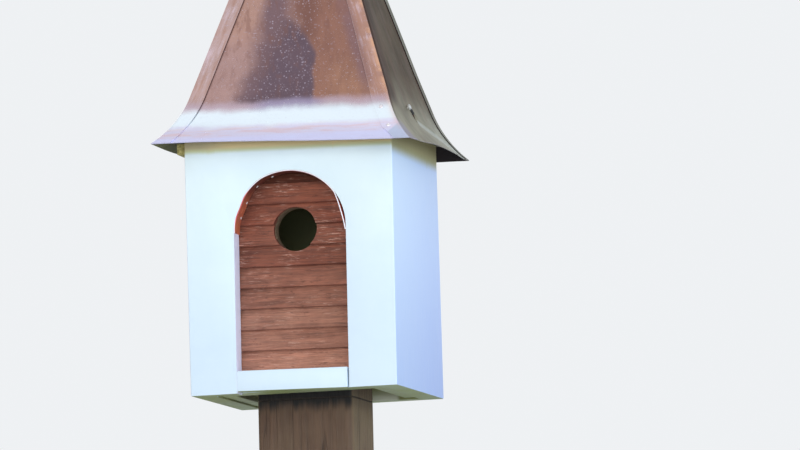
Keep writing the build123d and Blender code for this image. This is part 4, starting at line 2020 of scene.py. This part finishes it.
    def sheet(self, side: RoofSide, columns: int, fine: float, coarse: float) -> bmesh.types.BMesh:
        """Builds one folded sheet with its thickness.

        Args:
            side: The face that it covers.
            columns: Parts of the middle of the face.
            fine: Row height in the flare.
            coarse: Row height above it.

        Returns:
            The sheet.
        """
        form = self.form
        turn = side.turn()
        bench = bmesh.new()
        dirt_and_painted_light = bench.verts.layers.float.new("seam_grime")
        folded = bench.verts.layers.float.new("flap")
        fold_glint = bench.verts.layers.float.new("fold_rim")
        rows = []
        for height in form.levels(fine, coarse):
            out, up = form.normal(height)
            row = []
            for point, seam_shade, flap in self.outline(side, height, columns):
                if flap == 0.0:
                    stand = self.buckled(side, point.x, height)
                    point = point + Vector((0.0, -out, up)) * stand
                vert = bench.verts.new(self.settle(turn @ point))
                vert[dirt_and_painted_light] = seam_shade
                vert[folded] = min(1.0, flap)
                vert[fold_glint] = max(0.0, flap - 1.0) if side is RoofSide.RIGHT else 0.0
                row.append(vert)
            rows.append(row)
        for low, high in zip(rows, rows[1:]):
            for i in range(len(low) - 1):
                bench.faces.new((low[i], low[i + 1], high[i + 1], high[i]))
        bench.normal_update()
        return self.shop.work("SOLIDIFY", bench, thickness=form.sheet, offset=-1.0, use_even_offset=True)

    def tip(self) -> bmesh.types.BMesh:
        """The small four-sided cap, its hips eased and its skirt hollow."""
        form = self.form
        foot = form.panel_top - form.tip_skirt
        apex = form.apex + 3 * form.sheet / form.up
        rings = []
        for height, level, round_off in (
            (form.panel_top - 0.0005, 2.05, 0.0008),
            (foot + 0.0002, 2.1, 0.0008),
            (foot, 2.4, 0.0010),
            (foot, 2.9, 0.0012),
            (foot + 0.0003, 3.0, 0.0012),
            (form.panel_top, 3.0, 0.0012),
            (apex - 0.008, 3.0, 0.0010),
            (apex - 0.003, 2.95, 0.0006),
            (apex - 0.0008, 2.6, 0.0002),
        ):
            half = form.half_width(height, level)
            rings.append([Vector((x, y, height)) for x, y in rounded_square(half, min(round_off, half * 0.8), 4, 3)])
        return loft(rings)

    def on_face(self, side: RoofSide, across: float, height: float, level: float) -> tuple[Vector, Vector]:
        """A place on a roof face and its outward direction.

        Args:
            side: The face.
            across: Place along the face, to the right seen from outside.
            height: Height above the ground.
            level: Sheets outward from the copper's underside.

        Returns:
            The place and the direction.
        """
        turn = side.turn()
        out, up = self.form.normal(height)
        stand = self.buckled(side, across, height) if level <= 1.0 else 0.0
        spot = Vector((across, -self.form.half_width(height, level), height)) + Vector((0.0, -out, up)) * stand
        return self.settle(turn @ spot), turn @ Vector((0.0, -out, up))

    def rivet(self, side: RoofSide, from_hip: float, above_eave: float) -> bmesh.types.BMesh:
        """A flat domed rivet through a folded seam.

        Args:
            side: The face that the seam lies on.
            from_hip: Distance in from the right-hand hip.
            above_eave: Height over the eave.

        Returns:
            The rivet.
        """
        height = self.form.eave + above_eave
        across = self.form.half_width(height, 0.0) - from_hip
        spot, out = self.on_face(side, across, height, 2.0)
        profile = [(0.9, -0.3), (1.0, 0.0), (1.0, 0.12), (0.82, 0.34), (0.5, 0.46), (0.42, 0.40), (0.15, 0.38)]
        return turned(profile, self.rivet_radius, 24, facing(spot, out))

    def screw(self, side: RoofSide) -> bmesh.types.BMesh:
        """A pan-head roof screw with a slot.

        Args:
            side: The face it is driven into.

        Returns:
            The screw.
        """
        spot, out = self.on_face(side, self.screw_across(side), self.screw_seat[1], 1.0)
        seat = facing(spot, out)
        profile = [
            (0.55, -0.4), (0.55, 0.4), (1.0, 0.45), (1.08, 0.8), (1.04, 1.05), (0.86, 1.3), (0.5, 1.45), (0.1, 1.5),
        ]
        head = turned(profile, self.screw_radius, 32, seat)
        plan = ((-0.003, -0.0003), (0.003, -0.0003), (0.003, 0.0003), (-0.003, 0.0003))
        slot = loft([[seat @ Vector((x, y, z)) for x, y in plan] for z in (0.0030, 0.0055)])
        return self.shop.carve(head, slot)

    def screw_across(self, side: RoofSide) -> float:
        """Returns the screw's place along a side face, mirrored on the left."""
        return self.screw_seat[0] if side is RoofSide.RIGHT else -self.screw_seat[0]

    def shadow_drop(self, side: RoofSide) -> bmesh.types.BMesh:
        """A low dark drop below the screw, which stands in for the screw's cast shadow.

        Args:
            side: The face it lies on.

        Returns:
            The drop.
        """
        towards = 1.0 if side is RoofSide.RIGHT else -1.0
        spot, out = self.on_face(side, self.shadow_drop_seat[0] * towards, self.shadow_drop_seat[1], 1.0)
        seat = facing(spot, out)
        down = seat.inverted().to_3x3() @ (side.turn() @ Vector((0.9 * towards, 0.0, -1.0)))
        slant = math.atan2(down.y, down.x)
        rings = []
        for size, height in ((1.0, -0.0003), (1.0, 0.0002), (0.9, 0.0009), (0.66, 0.0015), (0.25, 0.0017)):
            ring = []
            for i in range(36):
                angle = 2 * math.pi * i / 36
                ragged = 1.0 + 0.14 * math.sin(3 * angle + 1.0) + 0.08 * math.sin(5 * angle)
                point = Vector((0.0036 * math.cos(angle), 0.0026 * math.sin(angle), 0.0)) * (size * ragged)
                point.rotate(Matrix.Rotation(slant, 3, "Z"))
                ring.append(seat @ (point + Vector((0.0, 0.0, height))))
            rings.append(ring)
        return loft(rings)

    def build(self, effects: Effects) -> None:
        """Builds the sheets, the cap and the fixings.

        Args:
            effects: The shared effects.
        """
        crease = (self.crease_start, self.crease_waist, self.crease_end)
        form = self.form
        copper = TarnishedCopper(form.eave, form.apex, form.run / form.slant, crease).material(effects)
        for side, columns, fine, coarse in (
            (RoofSide.FRONT, 70, 0.0022, 0.005),
            (RoofSide.RIGHT, 150, 0.0013, 0.004),
            (RoofSide.BACK, 70, 0.0022, 0.005),
            (RoofSide.LEFT, 70, 0.0022, 0.005),
        ):
            node = f"roof_{side.name.lower()}"
            bench = self.sheet(side, columns, fine, coarse)
            self.shop.finish(f"{node}_sheet", bench, copper, "copper_sheet", (node,), 50.0)
        timber = PlainTimber("roof_deck_timber", (0.055, 0.052, 0.028), (0.13, 0.12, 0.068), Grain.ALONG_X, 220.0)
        self.shop.finish("roof_base_deck", self.deck(), timber.material(effects), "inner_wood", ("roof_base",), 40.0)
        self.shop.finish("roof_tip_cap", self.tip(), copper, "copper_sheet", ("roof_tip",), 35.0)
        tin = FixingMetal("rivet_metal", (0.86, 0.83, 0.85), (0.55, 0.47, 0.50), 0.6, 0.40).material(effects)
        steel = FixingMetal("screw_metal", (0.74, 0.72, 0.68), (0.34, 0.32, 0.29), 0.4, 0.40).material(effects)
        # Painted shadow: a near-black drop below each screw stands in for its cast shadow
        drop_finish = FixingMetal("screw_shadow_black", (0.022, 0.020, 0.018), (0.05, 0.045, 0.04), 0.0, 0.7).material(effects)
        for number, (from_hip, above) in enumerate(((0.0087, 0.0292), (0.0094, 0.0123)), 1):
            self.shop.finish(f"seam_rivet_{number}", self.rivet(RoofSide.FRONT, from_hip, above), tin, "copper_sheet")
        for side in (RoofSide.RIGHT, RoofSide.LEFT):
            label = side.name.lower()
            self.shop.finish(f"roof_screw_{label}", self.screw(side), steel, "copper_sheet", (), 40.0)
            self.shop.finish(f"screw_sealant_{label}", self.shadow_drop(side), drop_finish, "copper_sheet", (), 60.0)


@dataclass
class EaveCleat:
    """The short strip of wood fixed to the left wall under the eave."""

    shop: Workshop
    soft_edge: float = 0.0007
    shift: float = -0.0006

    def build(self, effects: Effects) -> None:
        """Builds the cleat, which has moved with the racked wall's head.

        Args:
            effects: The shared effects.
        """
        # Painted bounce light: the strip's yellow-olive is its wood tone lit by yellow-green bounce
        strip = PlainTimber("cleat_timber", (0.30, 0.26, 0.085), (0.74, 0.64, 0.27), Grain.ALONG_Y, 320.0)
        low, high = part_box("left_eave_cleat")
        bench = loft([[Vector((x + self.shift, y, z)) for x, y in plan_of(low, high)] for z in (low.z, high.z)])
        ease(bench, self.soft_edge, is_sharp)
        self.shop.finish("left_eave_cleat_strip", bench, strip.material(effects), "inner_wood", ("left_eave_cleat",))


# ---------------------------------------------------------------- studio and camera


@dataclass
class Studio:
    """Plain pale floor and sky, and soft lamps."""

    floor_radius: float = 60.0
    floor_colour: Colour = (0.72, 0.73, 0.74)
    sky_colour: Colour = (0.86, 0.88, 0.90)
    sky_fill: float = 0.42
    fade_out: tuple[float, float] = (1.5, 9.0)
    aim_height: float = 1.4

    def floor(self) -> None:
        """Lays a pale floor that runs into the sky far from the part."""
        radii = (0.05, 2.0, 6.0, 20.0, self.floor_radius)
        bench = loft([[Vector((x, y, 0.0)) * radius for x, y in circle(64)] for radius in radii], caps=False)
        bench.faces.new(bench.verts[:64])
        bmesh.ops.recalc_face_normals(bench, faces=bench.faces[:])
        ground = Workshop.hang("studio_floor", bench)
        material, w = open_material("studio_floor")
        w.coat("Base Color", self.floor_colour)
        w.coat("Roughness", 0.9)
        w.coat("Specular IOR Level", 0.1)
        glow = w.node("Emission", {"Color": self.sky_colour, "Strength": 1.0})
        seen = w.node("LightPath")["Is Camera Ray"]
        share = w.fade(w.length(w.position()), *self.fade_out) * seen
        mixed = w.node("MixShader", {0: share, 1: w.shader.outputs[0], 2: glow[0]})
        w.feed(material.node_tree.nodes["Material Output"].inputs["Surface"], mixed[0])
        ground.data.materials.append(material)

    def sky(self) -> None:
        """Sets a plain pale sky, softer as a lamp than it looks."""
        world = bpy.data.worlds.new("studio_sky")
        bpy.context.scene.world = world
        world.use_nodes = True
        w = Wiring(world.node_tree)
        paths = w.node("LightPath")
        seen = w.most(paths["Is Camera Ray"], paths["Is Glossy Ray"])
        seen = w.most(seen, paths["Is Transmission Ray"])
        backdrop = world.node_tree.nodes["Background"]
        w.feed(backdrop.inputs["Color"], self.sky_colour)
        w.feed(backdrop.inputs["Strength"], w.fade(seen, 0.0, 1.0, self.sky_fill, 1.0))

    def lamp(
        self, name: str, azimuth: float, height: float, away: float,
        size: tuple[float, float], power: float, tint: Colour,
    ) -> None:
        """Hangs one soft lamp that looks at the box.

        Args:
            name: Its name.
            azimuth: Degrees round from the front, to the right.
            height: Degrees above the box.
            away: Distance from the box.
            size: Its width and height.
            power: Its power in watts.
            tint: Its colour.
        """
        data = bpy.data.lights.new(name, "AREA")
        data.shape = "RECTANGLE"
        data.size, data.size_y = size
        data.energy = power
        data.color = tint
        lamp = bpy.data.objects.new(name, data)
        bpy.context.scene.collection.objects.link(lamp)
        a, e = math.radians(azimuth), math.radians(height)
        back = Vector((math.sin(a) * math.cos(e), -math.cos(a) * math.cos(e), math.sin(e)))
        lamp.location = Vector((0.0, 0.0, self.aim_height)) + back * away
        lamp.rotation_mode = "QUATERNION"
        lamp.rotation_quaternion = back.to_track_quat("Z", "Y")

    def build(self) -> None:
        """Sets up floor, sky and lamps."""
        self.floor()
        self.sky()
        self.lamp("overhead_softbox", -12.0, 67.0, 2.6, (2.4, 1.1), 2.1, (0.94, 0.98, 1.0))
        self.lamp("front_key", -16.0, 11.0, 3.2, (3.6, 1.8), 46.5, (0.98, 1.0, 1.0))
        self.lamp("front_fill", 25.0, -4.0, 3.4, (3.4, 1.6), 28.5, (0.95, 0.98, 1.0))
        self.lamp("right_fill", 72.0, 8.0, 3.4, (3.0, 2.6), 65.0, (0.60, 0.78, 1.0))
        self.lamp("back_fill", 214.0, 26.0, 3.6, (3.4, 3.0), 19.5, (0.96, 0.98, 1.0))


@dataclass
class PhotoCamera:
    """The camera at the photograph's place, fitted to the box's corners."""

    aim: tuple[float, float, float] = (0.0807, 0.0, 1.3781)
    azimuth: float = 12.417
    looking_up: float = 5.604
    distance: float = 6.6638
    roll: float = -1.299
    lens: float = 329.0
    sensor: float = 36.0

    def build(self) -> None:
        """Makes the camera and gives it to the scene."""
        data = bpy.data.cameras.new("photo_camera")
        data.sensor_width = self.sensor
        data.lens = self.lens
        data.clip_start, data.clip_end = 0.1, 400.0
        camera = bpy.data.objects.new("photo_camera", data)
        bpy.context.scene.collection.objects.link(camera)
        a, e = math.radians(self.azimuth), math.radians(self.looking_up)
        ahead = Vector((-math.sin(a) * math.cos(e), math.cos(a) * math.cos(e), math.sin(e)))
        level = Vector((math.cos(a), math.sin(a), 0.0))
        upward = level.cross(ahead)
        tilt = math.radians(self.roll)
        right = level * math.cos(tilt) + upward * math.sin(tilt)
        top = upward * math.cos(tilt) - level * math.sin(tilt)
        turn = Matrix((right, top, -ahead)).transposed()
        camera.rotation_mode = "QUATERNION"
        camera.rotation_quaternion = turn.to_quaternion()
        camera.location = Vector(self.aim) - ahead * self.distance
        bpy.context.scene.camera = camera


def main() -> None:
    """Builds the camera, the studio and every piece, and reports them."""
    logging.basicConfig(level=logging.INFO, format="%(name)s %(message)s")
    bpy.context.scene.view_settings.view_transform = "Standard"
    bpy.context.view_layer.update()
    PhotoCamera().build()
    Studio().build()
    effects = Effects()
    shop = Workshop()
    for assembly in (
        PostMount(shop),
        BoxBody(shop),
        LappedFront(shop),
        ArchLining(shop),
        EaveCleat(shop),
        CopperRoof(shop),
    ):
        assembly.build(effects)
        LOG.info("%s done, %d pieces so far", type(assembly).__name__, len(shop.made))


if __name__ == "__main__":
    main()
